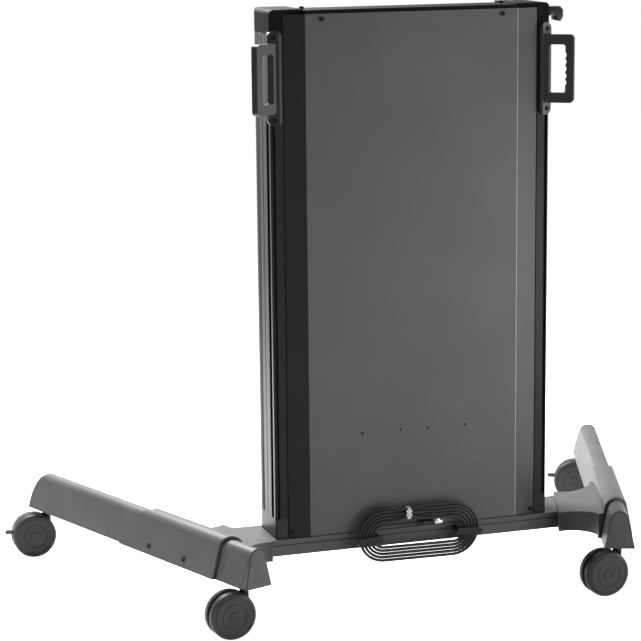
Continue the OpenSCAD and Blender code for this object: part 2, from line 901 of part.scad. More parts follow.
// Hook for the coil: a stem behind the crossbar and a finger that keeps the turns on it
module cord_hook(side) {
  on_side(side) {
    translate([hook_x, bar_rear_y, hook_z]) rotate([-90, 0, 0]) union() {
      cylinder(r = hook_stem_r, h = hook_finger_y - bar_rear_y + joint_overlap);
    }
    translate([hook_x, hook_finger_y, hook_z]) rotate([0, -hook_slant, 0])
      along_y(0, hook_finger_t) union() {
        circle(hook_finger_h / 2);
        translate([0, -hook_finger_h / 2]) square([hook_finger_end - hook_x - hook_finger_h / 3,
          hook_finger_h]);
        translate([hook_finger_end - hook_x - hook_finger_h / 3, 0])
          circle(hook_finger_h / 2);
      }
  }
}

// Actuator
module actuator_eye(bore) {
  rotate([0, 90, 0]) difference() {
    cylinder(r = ear_r - edge, h = 2 * ear_half - 2 * slide_gap, center = true);
    cylinder(r = bore, h = 3 * ear_half, center = true);
  }
}

module actuator_bracket_shape() {
  translate([0, actuator_y, 0]) difference() {
    union() {
      box_between([-bracket_w / 2, -bracket_d / 2, bar_top_z],
        [bracket_w / 2, bracket_d / 2, bar_top_z + bracket_t]);
      for (sx = [-1, 1]) on_side(sx) {
        box_between([ear_half, -ear_w / 2, bar_top_z],
          [ear_half + ear_t, ear_w / 2, pin_low_z]);
        translate([ear_half, 0, pin_low_z]) rotate([0, 90, 0]) cylinder(r = ear_r, h = ear_t);
      }
    }
    translate([0, 0, pin_low_z]) rotate([0, 90, 0])
      cylinder(r = pin_d / 2, h = bracket_w, center = true);
  }
}

module pin_at(z) {
  translate([0, actuator_y, z]) rotate([0, 90, 0]) union() {
    cylinder(r = pin_d / 2, h = pin_length, center = true);
    for (s = [-1, 1]) translate([0, 0, s * (pin_length / 2 + edge / 2)])
      cylinder(r = pin_d / 2 + edge, h = edge, center = true);
  }
}

module actuator_tube_shape() {
  body_z = gearbox_z;
  translate([0, actuator_y, 0]) difference() {
    union() {
      translate([0, 0, pin_low_z]) actuator_eye(pin_d / 2);
      box_between([-ear_half + slide_gap, -ear_r + edge, pin_low_z],
        [ear_half - slide_gap, ear_r - edge, body_z + joint_overlap]);
      translate([0, 0, body_z]) linear_extrude(gearbox_h) union() {
        circle(gearbox_w / 2);
        translate([motor_x, 0]) circle(gearbox_w / 2);
        translate([0, -gearbox_w / 2]) square([motor_x, gearbox_w]);
      }
      translate([0, 0, body_z + gearbox_h - over])
        cylinder(r = actuator_d / 2, h = tube_top_z - body_z - gearbox_h + over);
    }
    translate([0, 0, pin_low_z]) rotate([0, 90, 0])
      cylinder(r = pin_d / 2, h = 3 * ear_half, center = true);
    translate([0, 0, body_z + gearbox_h])
      cylinder(r = actuator_d / 2 - tube_wall, h = tube_top_z - tube_collar_h - body_z
        - gearbox_h);
    translate([0, 0, tube_top_z - tube_collar_h - over])
      cylinder(r = rod_d / 2 + run_gap, h = tube_collar_h + 2 * over);
  }
}

module actuator_motor_shape() {
  translate([motor_x, actuator_y, gearbox_z + gearbox_h]) union() {
    cylinder(r = motor_r, h = motor_h);
    translate([0, 0, motor_h]) cylinder(r = motor_r * 0.7, h = 2 * edge);
  }
}

module actuator_rod_shape() {
  translate([0, actuator_y, 0]) difference() {
    union() {
      translate([0, 0, rod_bottom_z])
        cylinder(r = rod_d / 2, h = pin_high_z - rod_bottom_z - ear_r / 2);
      translate([0, 0, pin_high_z]) actuator_eye(pin_d / 2);
    }
    translate([0, 0, pin_high_z]) rotate([0, 90, 0])
      cylinder(r = pin_d / 2, h = 3 * ear_half, center = true);
  }
}

// Carriage
module carriage_frame_shape() {
  post_y = post_front_y;
  rear_y = -half_d - carriage_gap;
  difference() {
    union() {
      for (sx = [-1, 1]) on_side(sx)
        box_between([channel_x - post_w / 2, post_y, post_bottom_z],
          [channel_x + post_w / 2, rear_y, post_top_z]);
      for (z = [rail_low_z, rail_high_z])
        box_between([-channel_x - post_w / 2, rail_front_y, z],
          [channel_x + post_w / 2, post_y, z + rail_h]);
      box_between([-channel_x, post_y, arm_z], [channel_x, rear_y, arm_z + arm_h]);
      for (sx = [-1, 1]) on_side(sx)
        box_between([ear_half, post_y, arm_z],
          [ear_half + ear_t, actuator_y + ear_r, arm_z + arm_h]);
    }
    for (sx = [-1, 1]) on_side(sx)
      box_between([channel_x - post_w / 2 + tube_t, post_y + tube_t, post_bottom_z - over],
        [channel_x + post_w / 2 - tube_t, rear_y - tube_t, post_top_z + over]);
    for (z = [rail_low_z, rail_high_z])
      box_between([-channel_x - post_w / 2 - over, rail_front_y + tube_t, z + tube_t],
        [channel_x + post_w / 2 + over, post_y - tube_t, z + rail_h - tube_t]);
    box_between([-channel_x + post_w / 2 + over, post_y + tube_t, arm_z + tube_t],
      [channel_x - post_w / 2 - over, rear_y - tube_t, arm_z + arm_h - tube_t]);
    translate([0, actuator_y, pin_high_z]) rotate([0, 90, 0])
      cylinder(r = pin_d / 2, h = 4 * ear_half, center = true);
    for (sx = [-1, 1], z = [rail_low_z, rail_high_z])
      translate([sx * display_pattern / 2, rail_front_y - over, z + rail_h / 2])
        rotate([-90, 0, 0]) cylinder(r = bracket_screw_r, h = tube_t + 2 * over);
  }
}

module display_bracket(side) {
  x = display_pattern / 2;
  front_y = rail_front_y - arm_bracket_d;
  on_side(side) difference() {
    union() {
      box_between([x - arm_bracket_w / 2, front_y, arm_bracket_z],
        [x + arm_bracket_w / 2, rail_front_y, arm_bracket_z + arm_bracket_h]);
    }
    difference() {
      box_between([x - arm_bracket_w / 2 + arm_bracket_t, front_y + arm_bracket_t,
        arm_bracket_z - over], [x + arm_bracket_w / 2 - arm_bracket_t, rail_front_y + over,
        arm_bracket_z + arm_bracket_h + over]);
      for (z = [rail_low_z, rail_high_z])
        box_between([x - arm_bracket_w / 2, rail_front_y - tab_t, z + (rail_h - tab_h) / 2],
          [x + arm_bracket_w / 2, rail_front_y + 2 * over, z + (rail_h + tab_h) / 2]);
    }
    box_between([x - arm_bracket_w, rail_front_y, arm_bracket_z - over],
      [x + arm_bracket_w, rail_front_y + 3 * over, arm_bracket_z + arm_bracket_h + over]);
    for (s = [-1, 1])
      translate([x, front_y + 2 * arm_bracket_t, display_z + s * display_pattern / 2])
        rotate([90, 0, 0]) linear_extrude(3 * arm_bracket_t) union() {
          square([display_slot_l - 2 * display_hole_r, 2 * display_hole_r], center = true);
          for (e = [-1, 1]) translate([e * (display_slot_l / 2 - display_hole_r), 0])
            circle(display_hole_r);
        }
    for (z = [rail_low_z, rail_high_z])
      translate([x, rail_front_y - 2 * tab_t, z + rail_h / 2]) rotate([-90, 0, 0])
        cylinder(r = bracket_screw_r, h = 3 * tab_t);
  }
}

module bracket_screw_set() {
  for (sx = [-1, 1], z = [rail_low_z, rail_high_z])
    translate([sx * display_pattern / 2, rail_front_y - tab_t, z + rail_h / 2])
      rotate([90, 0, 0])
        screw(bracket_screw_r, 2 * tab_t + edge, bracket_head_r, bracket_head_h);
}

module guide_block_set() {
  front = -half_d - carriage_gap;
  for (sx = [-1, 1], z = block_z) on_side(sx) translate([channel_x, 0, z]) union() {
    box_between([-channel_w / 2 + slide_gap, -half_d + channel_lip + slide_gap, 0],
      [channel_w / 2 - slide_gap, -half_d + channel_depth - slide_gap, block_h]);
    box_between([-channel_slot_w / 2 + slide_gap, front, 0],
      [channel_slot_w / 2 - slide_gap, -half_d + channel_depth / 2, block_h]);
  }
}

// Controls
module control_panel_shape() {
  x = -half_w - panel_d;
  difference() {
    box_between([x, panel_yc - panel_w / 2, panel_z - panel_h / 2],
      [-half_w, panel_yc + panel_w / 2, panel_z + panel_h / 2]);
    for (s = [-1, 1])
      translate([x - over, panel_yc, panel_z + s * button_pitch / 2]) rotate([0, 90, 0])
        cylinder(r = button_r + run_gap * 2, h = button_depth + button_travel + slide_gap
          + over);
    translate([-half_w - edge, -half_d - over, panel_z - panel_h])
      cube([3 * edge, half_d + panel_yc - panel_w / 2 + 2 * over, 2 * panel_h]);
  }
}

module button(s) {
  translate([-half_w - panel_d - button_proud, panel_yc, panel_z + s * button_pitch / 2])
    rotate([0, 90, 0]) cylinder(r = button_r, h = button_proud + button_depth - edge);
}

module control_box_shape() {
  y = front_cover_y + sheet + mid_bar_d;
  difference() {
    box_between([box_x - box_w / 2, y, box_z], [box_x + box_w / 2, y + box_d, box_z + box_h]);
    box_between([box_x - box_w / 2 + tube_t, y + tube_t, box_z + tube_t],
      [box_x + box_w / 2 - tube_t, y + box_d - tube_t, box_z + box_h - tube_t]);
  }
}

// Casters, in a frame with the swivel axis at the origin and the trail along +x
module at_caster(side, a, turn) {
  x = side * (leg_x + a * sin(splay));
  y = leg_y - a * cos(splay);
  translate([x, y, 0]) rotate([0, 0, turn]) children();
}

module at_wheel() {
  translate([trail, 0, wheel_r]) rotate([90, 0, 0]) children();
}

module at_brake_pivot() {
  translate([brake_pivot_r * cos(brake_angle), brake_pivot_r * sin(brake_angle), 0]) children();
}

module sector(from, to, r) {
  mid = (from + to) / 2;
  polygon([[0, 0], [r * cos(from), r * sin(from)],
    [r * cos((from + mid) / 2) * 1.2, r * sin((from + mid) / 2) * 1.2],
    [r * cos(mid) * 1.2, r * sin(mid) * 1.2],
    [r * cos((to + mid) / 2) * 1.2, r * sin((to + mid) / 2) * 1.2],
    [r * cos(to), r * sin(to)]]);
}

module caster_body(brake) {
  difference() {
    union() {
      at_wheel() translate([0, 0, -web_half]) linear_extrude(2 * web_half) union() {
        difference() {
          circle(web_r);
          if (brake) difference() {
            sector(-40, 112, 2 * web_r);
            circle(brake_notch_r);
          }
        }
      }
      if (brake) at_wheel() translate([0, 0, -brake_ear_half])
        linear_extrude(2 * brake_ear_half) {
          at_brake_pivot() circle(brake_ear_r);
          at_brake_pivot() translate([-brake_ear_r, -brake_ear_r * 2])
            square([2 * brake_ear_r, brake_ear_r * 2]);
        }
      difference() {
        translate([0, 0, wheel_r + boss_r]) cylinder(r = boss_r, h = boss_top_z - wheel_r
          - boss_r);
        for (s = [0, 1]) mirror([0, s, 0]) translate([trail, web_half, wheel_r])
          rotate([-90, 0, 0]) cylinder(r = wheel_r + web_clear, h = boss_r + over);
        if (brake) at_wheel() at_brake_pivot() translate([0, 0, -2 * brake_half])
          cylinder(r = brake_ear_r + 3 * edge, h = 4 * brake_half);
      }
      translate([0, 0, boss_top_z - over]) cylinder(r = stem_r, h = stem_top_z - boss_top_z
        + over);
    }
    at_wheel() cylinder(r = axle_r + run_gap, h = 4 * web_half, center = true);
    if (brake) at_wheel() at_brake_pivot()
      cylinder(r = brake_pin_r + run_gap, h = 4 * web_half, center = true);
  }
}

module wheel_half_section() {
  union() {
    translate([0, wheel_gap]) square([wheel_r - shoulder, wheel_face - wheel_gap]);
    translate([wheel_r - 2 * shoulder, wheel_gap])
      square([2 * shoulder, wheel_face - wheel_gap - shoulder]);
    translate([wheel_r - shoulder, wheel_face - shoulder]) circle(shoulder);
    intersection() {
      translate([0, wheel_face + dome - dome_r]) circle(dome_r, $fn = dome_sides);
      translate([0, wheel_face - over]) square([wheel_r - shoulder, 3 * dome]);
    }
    translate([ring_r - ring_w, wheel_face]) square([ring_w, dome + ring_h]);
  }
}

module wheel_pair() {
  at_wheel() union() {
    for (s = [0, 1]) mirror([0, 0, s]) rotate_extrude() wheel_half_section();
    cylinder(r = axle_r, h = 2 * wheel_gap + 2 * over, center = true);
  }
}

module brake_lever() {
  at_wheel() {
    difference() {
      translate([0, 0, -brake_half]) linear_extrude(2 * brake_half) union() {
        intersection() {
          difference() {
            circle(brake_out);
            circle(brake_in);
          }
          sector(brake_from, brake_to, 2 * brake_out);
        }
        at_brake_pivot() circle(brake_ear_r);
        translate([brake_in, tab_z - tab_half]) square([tab_reach - brake_in, 2 * tab_half]);
      }
      at_brake_pivot() translate([0, 0, -brake_ear_half - run_gap * 6])
        cylinder(r = brake_ear_r + 3 * edge, h = 2 * brake_ear_half + run_gap * 12);
    }
    at_brake_pivot() cylinder(r = brake_pin_r, h = 2 * brake_half - edge, center = true);
  }
}

// Cord geometry: functions that give points along the coil and along the free stretch
function hank_radius(u) = hank_r - hank_pitch * u;
function straight_x(share) = hank_end_x * (1 - 2 * share);
function hank_plane(u) =
  let (v = u - floor(u), r = hank_radius(u), a = hank_share_straight, b = hank_share_round)
  v < a ? [straight_x(v / a), r] :
  v < a + b ? [-hank_end_x - r * sin(180 * (v - a) / b), r * cos(180 * (v - a) / b)] :
  v < 2 * a + b ? [-straight_x((v - a - b) / a), -r] :
  [hank_end_x + r * sin(180 * (v - 2 * a - b) / b), -r * cos(180 * (v - 2 * a - b) / b)];
function hank_waist(u, x) =
  u >= tie_turns || u - floor(u) >= hank_share_straight || abs(x - hank_waist_x) > hank_waist_w
  ? 0 : pow(1 - pow((x - hank_waist_x) / hank_waist_w, 2), 2);
function hank_end_drop(u) = u <= hank_drop_from ? 0
  : hank_drop * (u - hank_drop_from) / (hank_turns - hank_drop_from);
function hank_at(u) =
  let (p = hank_plane(u), w = hank_waist(u, p[0]), side = floor(u) % 2 == 0 ? 1 : -1)
  [p[0], hank_y + side * hank_waist_y * w,
    hank_z + p[1] + w * w * (hank_waist_share * (hank_waist_mid - hank_radius(u))
    + hank_waist_rise) - hank_end_drop(u)];
function bezier(a, b, c, d, t) =
  a * pow(1 - t, 3) + b * 3 * t * pow(1 - t, 2) + c * 3 * t * t * (1 - t) + d * pow(t, 3);
function unit(v) = v / norm(v);
function ring_tangent(path, i) =
  unit(path[min(i + 1, len(path) - 1)] - path[max(i - 1, 0)]);
function ring_points(path, i, r, sides) =
  let (t = ring_tangent(path, i), y = [0, 1, 0], n = unit(y - t * (t * y)), b = cross(t, n))
  [for (k = [0 : sides - 1])
    path[i] + r * (n * cos(360 * k / sides) + b * sin(360 * k / sides))];

module tube(path, r, sides) {
  count = len(path);
  points = [for (i = [0 : count - 1]) each ring_points(path, i, r, sides)];
  first = [for (k = [0 : sides - 1]) k];
  last = [for (k = [sides - 1 : -1 : 0]) (count - 1) * sides + k];
  walls = [for (i = [0 : count - 2], k = [0 : sides - 1])
    let (m = (k + 1) % sides)
    each [[i * sides + k, (i + 1) * sides + m, i * sides + m],
      [i * sides + k, (i + 1) * sides + k, (i + 1) * sides + m]]];
  polyhedron(points = points, faces = concat([first], [last], walls), convexity = 12);
}

hank_count = ceil(hank_turns * hank_rings);
hank_path = [for (i = [0 : hank_count]) hank_at(i * hank_turns / hank_count)];
hank_start = hank_path[0];
hank_end = hank_path[hank_count];
lead_path = [for (i = [0 : lead_rings])
  bezier(lead_route[0], lead_route[1], lead_route[2], hank_start, i / lead_rings)];
hank_gap = min([for (i = [0 : hank_count - 12]) min([for (j = [i + 12 : hank_count])
  norm(hank_path[i] - hank_path[j])])]) - cord_d;
echo(hank_gap = hank_gap, hank_end = hank_end, hank_start = hank_start);

module cord_gland_shape() {
  difference() {
    union() {
      translate([gland_x, bar_rear_y, gland_z + gland_body_h / 2]) rotate([-90, 0, 0])
        cylinder(r = gland_body_r - over, h = gland_y - bar_rear_y);
      translate([gland_x, gland_y, gland_z]) cylinder(r = gland_body_r - over, h = gland_body_h);
      translate([gland_x, gland_y, gland_z + gland_body_h - over])
        cylinder(r1 = gland_body_r - over, r2 = gland_tip_r,
          h = gland_top_z - gland_z - gland_body_h + over);
    }
  }
}

module plug_shape() {
  translate(hank_end) rotate([0, -90, 0]) union() {
    cylinder(r1 = gland_tip_r, r2 = plug_body_h / 2, h = plug_cone_l);
    translate([-plug_body_h / 2, -plug_body_w / 2, plug_cone_l - over])
      cube([plug_body_h, plug_body_w, plug_body_l]);
    for (s = [-1, 1])
      translate([-blade_h / 2, s * blade_pitch / 2 - blade_t / 2, plug_cone_l])
        cube([blade_h, blade_t, plug_body_l + blade_l]);
  }
}

module cord_tie_shape() {
  share = hank_share_straight * (hank_end_x - tie_x) / (2 * hank_end_x);
  high = hank_at(share)[2] + cord_d / 2 + tie_gap;
  low = hank_at(tie_turns - 1 + share)[2] - cord_d / 2 - tie_low_gap;
  depth = cord_d / 2 + hank_waist_y + tie_gap;
  difference() {
    box_between([tie_x - tie_w / 2, hank_y - depth - tie_t, low - tie_t],
      [tie_x + tie_w / 2, hank_y + depth + tie_t, high + tie_t]);
    box_between([tie_x - tie_w, hank_y - depth, low], [tie_x + tie_w, hank_y + depth, high]);
  }
}

// Sub-parts
module crossbar() { color("#77777a") crossbar_shape(); }
module hub_left() { color("#77777a") hub(1); }
module hub_right() { color("#77777a") hub(-1); }
module hub_collars() { color("#222224") { hub_collar(1); hub_collar(-1); } }
module hub_screws() { color("#222224") { hub_screw_set(1); hub_screw_set(-1); } }
module leg_left() { color("#77777a") leg(1); }
module leg_right() { color("#77777a") leg(-1); }
module leg_caps_front() { color("#4a4a4d") { leg_cap_front(1); leg_cap_front(-1); } }
module leg_caps_rear() { color("#4a4a4d") { leg_cap_rear(1); leg_cap_rear(-1); } }
module caster_sockets() {
  color("#222224") for (side = [-1, 1], a = [caster_rear_a, caster_front_a]) caster_socket(side, a);
}
module crossbar_screws() { color("#222224") crossbar_screw_set(); }
module cord_hook_left() { color("#9a9a9c") cord_hook(1); }
module cord_hook_right() { color("#9a9a9c") cord_hook(-1); }
module upright_left() { color("#4a4a4d") upright(1); }
module upright_right() { color("#4a4a4d") upright(-1); }
module upright_foot_left() { color("#222224") upright_foot(1); }
module upright_foot_right() { color("#222224") upright_foot(-1); }
module top_cap_left() { color("#222224") top_cap(1); }
module top_cap_right() { color("#222224") top_cap(-1); }
module top_crossmember() { color("#9a9a9c") top_crossmember_shape(); }
module top_screws() { color("#222224") top_screw_set(); }
module rear_cover() { color("#4a4a4d") rear_cover_shape(); }
module cover_screws() { color("#222224") cover_screw_set(); }
module front_cover() { color("#4a4a4d") front_cover_shape(); }
module mid_crossmember() { color("#9a9a9c") mid_crossmember_shape(); }
module handle_left() { color("#222224") handle(1); }
module handle_right() { color("#222224") handle(-1); }
module handle_screws() { color("#222224") handle_screw_set(); }
module side_hook() { color("#222224") side_hook_shape(); }
module actuator_motor() { color("#222224") actuator_motor_shape(); }
module actuator_tube() { color("#9a9a9c") actuator_tube_shape(); }
module actuator_bracket() { color("#9a9a9c") actuator_bracket_shape(); }
module actuator_pin_lower() { color("#9a9a9c") pin_at(pin_low_z); }
module control_box() { color("#222224") control_box_shape(); }
module control_panel() { color("#222224") control_panel_shape(); }
module cord_gland() { color("#222224") cord_gland_shape(); }
module cord_lead() { color("#222224") tube(lead_path, cord_d / 2, lead_sides); }
module cord_hank() { color("#222224") tube(hank_path, cord_d / 2, hank_sides); }
module cord_tie() { color("#f2f2f0") cord_tie_shape(); }
module plug() { color("#222224") plug_shape(); }
module carriage_frame() { color("#4a4a4d") carriage_frame_shape(); }
module display_bracket_left() { color("#4a4a4d") display_bracket(1); }
module display_bracket_right() { color("#4a4a4d") display_bracket(-1); }
module guide_blocks() { color("#e4e2dc") guide_block_set(); }
module actuator_rod() { color("#9a9a9c") actuator_rod_shape(); }
module actuator_pin_upper() { color("#9a9a9c") pin_at(pin_high_z); }
module bracket_screws() { color("#222224") bracket_screw_set(); }
module up_button() { color("#9a9a9c") button(1); }
module down_button() { color("#9a9a9c") button(-1); }
module caster_body_rl() { color("#222224") at_caster(1, caster_rear_a, turn_rear_left) caster_body(false); }
module caster_body_rr() {
  color("#222224") at_caster(-1, caster_rear_a, turn_rear_right) caster_body(false);
}
module caster_body_fl() {
  color("#222224") at_caster(1, caster_front_a, turn_front_left) caster_body(true);
}
module caster_body_fr() {
  color("#222224") at_caster(-1, caster_front_a, turn_front_right) caster_body(true);
}
module wheels_rl() { color("#4a4a4d") at_caster(1, caster_rear_a, turn_rear_left) wheel_pair(); }
module wheels_rr() { color("#4a4a4d") at_caster(-1, caster_rear_a, turn_rear_right) wheel_pair(); }
module wheels_fl() { color("#4a4a4d") at_caster(1, caster_front_a, turn_front_left) wheel_pair(); }
module wheels_fr() { color("#4a4a4d") at_caster(-1, caster_front_a, turn_front_right) wheel_pair(); }
module brake_lever_fl() { color("#9a9a9c") at_caster(1, caster_front_a, turn_front_left) brake_lever(); }
module brake_lever_fr() { color("#9a9a9c") at_caster(-1, caster_front_a, turn_front_right) brake_lever(); }

crossbar();
hub_left();
hub_right();
hub_collars();
hub_screws();
leg_left();
leg_right();
leg_caps_front();
leg_caps_rear();
caster_sockets();
crossbar_screws();
cord_hook_left();
cord_hook_right();
upright_left();
upright_right();
upright_foot_left();
upright_foot_right();
top_cap_left();
top_cap_right();
top_crossmember();
top_screws();
rear_cover();
cover_screws();
front_cover();
mid_crossmember();
handle_left();
handle_right();
handle_screws();
side_hook();
actuator_motor();
actuator_tube();
actuator_bracket();
actuator_pin_lower();
control_box();
control_panel();
cord_gland();
cord_lead();
cord_hank();
cord_tie();
plug();
carriage_frame();
display_bracket_left();
display_bracket_right();
guide_blocks();
actuator_rod();
actuator_pin_upper();
bracket_screws();
up_button();
down_button();
caster_body_rl();
caster_body_rr();
caster_body_fl();
caster_body_fr();
wheels_rl();
wheels_rr();
wheels_fl();
wheels_fr();
brake_lever_fl();
brake_lever_fr();
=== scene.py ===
import json
from math import atan2, cos, pi, radians, sin

import bmesh
import bpy
from mathutils import Matrix, Vector


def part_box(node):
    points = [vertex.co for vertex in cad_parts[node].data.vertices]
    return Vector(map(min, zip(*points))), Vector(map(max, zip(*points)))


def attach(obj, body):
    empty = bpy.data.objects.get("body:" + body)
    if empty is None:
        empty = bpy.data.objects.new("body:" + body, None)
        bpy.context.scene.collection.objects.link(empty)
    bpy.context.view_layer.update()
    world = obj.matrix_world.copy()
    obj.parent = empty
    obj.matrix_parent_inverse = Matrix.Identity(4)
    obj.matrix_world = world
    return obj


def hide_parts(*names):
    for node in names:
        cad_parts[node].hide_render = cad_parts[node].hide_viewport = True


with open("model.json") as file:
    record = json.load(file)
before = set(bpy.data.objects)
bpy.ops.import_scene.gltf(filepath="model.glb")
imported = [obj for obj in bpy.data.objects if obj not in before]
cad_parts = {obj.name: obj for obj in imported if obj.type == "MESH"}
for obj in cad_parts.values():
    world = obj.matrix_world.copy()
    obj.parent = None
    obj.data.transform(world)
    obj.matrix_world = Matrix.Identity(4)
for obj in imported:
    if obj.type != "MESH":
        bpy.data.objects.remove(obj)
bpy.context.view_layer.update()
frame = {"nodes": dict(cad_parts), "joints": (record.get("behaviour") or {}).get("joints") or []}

# Camera
# A long lens about 5 m away, behind the cart and a little above it, turned towards its right side.
# Its place, heading and tilt were fitted to the straight edges of the cart in the photograph.
camera_place = (1.69562, 4.5674, 1.53624)
camera_data = bpy.data.cameras.new("camera")
camera_data.lens = 129.68
camera_data.sensor_width = 36
camera_data.clip_end = 40
camera = bpy.data.objects.new("camera", camera_data)
bpy.context.collection.objects.link(camera)
camera_heading = 0.319324
camera_tilt = 0.190466
camera_roll = -0.010085
camera.matrix_world = (
    Matrix.Translation(camera_place)
    @ Matrix.Rotation(pi - camera_heading, 4, "Z")
    @ Matrix.Rotation(pi / 2 - camera_tilt, 4, "X")
    @ Matrix.Rotation(camera_roll, 4, "Z")
)
bpy.context.scene.camera = camera


# Supply cord
# A round three-core lead in a black PVC jacket, 6.5 mm thick. It leaves the gland at the foot of the
# column, rises to the hooks and is wound on them in five flat turns, closed up where the tie holds them.
cord_d = 0.0065
cloud_detail = 4
cloud_dark_to = 0.35
cloud_light_from = 0.68
relief_detail = 3
relief_depth = 0.0004


def finish(name, dark, light, roughness, scale, grain, bump, metallic=0.0, spread=0.12, shine=0.3):
    """A painted or moulded surface: cloudy colour, uneven gloss and a fine relief."""
    material = bpy.data.materials.new(name)
    material.use_nodes = True
    nodes = material.node_tree.nodes
    links = material.node_tree.links
    shader = nodes["Principled BSDF"]
    shader.inputs["Metallic"].default_value = metallic
    shader.inputs["Specular IOR Level"].default_value = shine
    place = nodes.new("ShaderNodeTexCoord")
    cloud = nodes.new("ShaderNodeTexNoise")
    cloud.inputs["Scale"].default_value = scale
    cloud.inputs["Detail"].default_value = cloud_detail
    links.new(place.outputs["Object"], cloud.inputs["Vector"])
    colour = nodes.new("ShaderNodeValToRGB")
    colour.color_ramp.elements[0].position = cloud_dark_to
    colour.color_ramp.elements[0].color = (*dark, 1)
    colour.color_ramp.elements[1].position = cloud_light_from
    colour.color_ramp.elements[1].color = (*light, 1)
    links.new(cloud.outputs["Fac"], colour.inputs["Fac"])
    links.new(colour.outputs["Color"], shader.inputs["Base Color"])
    relief = nodes.new("ShaderNodeTexNoise")
    relief.inputs["Scale"].default_value = grain
    relief.inputs["Detail"].default_value = relief_detail
    links.new(place.outputs["Object"], relief.inputs["Vector"])
    gloss = nodes.new("ShaderNodeMapRange")
    gloss.inputs["To Min"].default_value = roughness - spread / 2
    gloss.inputs["To Max"].default_value = roughness + spread / 2
    links.new(relief.outputs["Fac"], gloss.inputs["Value"])
    links.new(gloss.outputs["Result"], shader.inputs["Roughness"])
    height = nodes.new("ShaderNodeBump")
    height.inputs["Strength"].default_value = bump
    height.inputs["Distance"].default_value = relief_depth
    links.new(relief.outputs["Fac"], height.inputs["Height"])
    links.new(height.outputs["Normal"], shader.inputs["Normal"])
    return material


jacket = finish(
    "cord_jacket", (0.012, 0.012, 0.013), (0.030, 0.030, 0.032),
    roughness=0.42, scale=90, grain=900, bump=0.15, shine=0.2,
)

hank_y = 0.095
hank_z = 0.150
hank_end_x = 0.079
hank_r = 0.060
hank_pitch = 0.0072
hank_turns = 5.12
hank_straight = 0.27
hank_round = 0.23
waist_x = 0.024
waist_w = 0.046
waist_y = 0.004
waist_mid = 0.0413
waist_rise = 0.0037
tied_turns = 5
end_drop = 0.0025
end_drop_from = 4.85


def hank_point(turn):
    """The middle of the cord after so many turns of the hank."""
    part = turn - int(turn)
    r = hank_r - hank_pitch * turn
    if part < hank_straight:
        x = hank_end_x * (1 - 2 * part / hank_straight)
        z = r
    elif part < hank_straight + hank_round:
        swing = pi * (part - hank_straight) / hank_round
        x = -hank_end_x - r * sin(swing)
        z = r * cos(swing)
    elif part < 2 * hank_straight + hank_round:
        x = -hank_end_x * (1 - 2 * (part - hank_straight - hank_round) / hank_straight)
        z = -r
    else:
        swing = pi * (part - 2 * hank_straight - hank_round) / hank_round
        x = hank_end_x + r * sin(swing)
        z = -r * cos(swing)
    pull = 0
    if turn < tied_turns and part < hank_straight and abs(x - waist_x) < waist_w:
        pull = (1 - ((x - waist_x) / waist_w) ** 2) ** 2
    side = 1 if int(turn) % 2 == 0 else -1
    z = z + pull**2 * ((waist_mid - r) / 2 + waist_rise)
    if turn > end_drop_from:
        z = z - end_drop * (turn - end_drop_from) / (hank_turns - end_drop_from)
    return Vector((x, hank_y + side * waist_y * pull, hank_z + z))


def cord_curve(name, points, radius):
    """A smooth round cord through these points."""
    line = bpy.data.curves.new(name, "CURVE")
    line.dimensions = "3D"
    line.bevel_depth = radius
    line.bevel_resolution = 6
    line.resolution_u = 4
    line.use_fill_caps = True
    spline = line.splines.new("POLY")
    spline.points.add(len(points) - 1)
    for knot, point in zip(spline.points, points):
        knot.co = (*point, 1)
    spline.use_smooth = True
    line.materials.append(jacket)
    cord = bpy.data.objects.new(name, line)
    bpy.context.collection.objects.link(cord)
    return cord


hank_steps = 370
lead_steps = 24
hank_points = [hank_point(hank_turns * i / hank_steps) for i in range(hank_steps + 1)]
lead_start = Vector((0.118, 0.080, 0.152))
lead_knots = [lead_start, Vector((0.122, 0.080, 0.192)), Vector((0.112, 0.094, 0.212)), hank_points[0]]
lead_points = []
for i in range(lead_steps):
    t = i / lead_steps
    weights = ((1 - t) ** 3, 3 * t * (1 - t) ** 2, 3 * t * t * (1 - t), t**3)
    lead_points.append(sum((w * k for w, k in zip(weights, lead_knots)), Vector()))
cord_points = lead_points + hank_points
cord = cord_curve("supply_cord", cord_points, cord_d / 2)
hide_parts("cord_lead", "cord_hank")
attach(cord, "base")


# Plug
# A two-blade plug in black nylon, moulded onto the inner end of the hank: a waisted grip and a ribbed
# strain relief, with two plated blades that are held in the moulding.
def piece_from(shape, name, body, material, node=None, smooth_angle=35):
    """A finished piece from a bmesh, riding on its body."""
    bmesh.ops.recalc_face_normals(shape, faces=shape.faces)
    mesh = bpy.data.meshes.new(name)
    shape.to_mesh(mesh)
    shape.free()
    mesh.materials.append(material)
    mesh.shade_smooth()
    mesh.set_sharp_from_angle(angle=radians(smooth_angle))
    piece = bpy.data.objects.new(name, mesh)
    bpy.context.collection.objects.link(piece)
    if node:
        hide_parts(node)
    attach(piece, body)
    return piece


def box_in(shape, size):
    """A plain box of this size, with its middle at the origin."""
    verts = bmesh.ops.create_cube(shape, size=1)["verts"]
    bmesh.ops.scale(shape, vec=size, verts=verts)
    return verts


def turned(shape, r_start, r_end, length, place=Matrix(), sides=36):
    """A round bar or cone, turned along its own Z axis and then put in place."""
    return bmesh.ops.create_cone(
        shape,
        cap_ends=True,
        segments=sides,
        radius1=r_start,
        radius2=r_end,
        depth=length,
        matrix=place,
    )["verts"]


def break_edges(shape, edges, width, steps, material=-1):
    """Takes these edges off over this width, in so many steps."""
    bmesh.ops.bevel(
        shape,
        geom=edges,
        offset=width,
        offset_type="OFFSET",
        affect="EDGES",
        segments=steps,
        profile=0.5,
        material=material,
    )


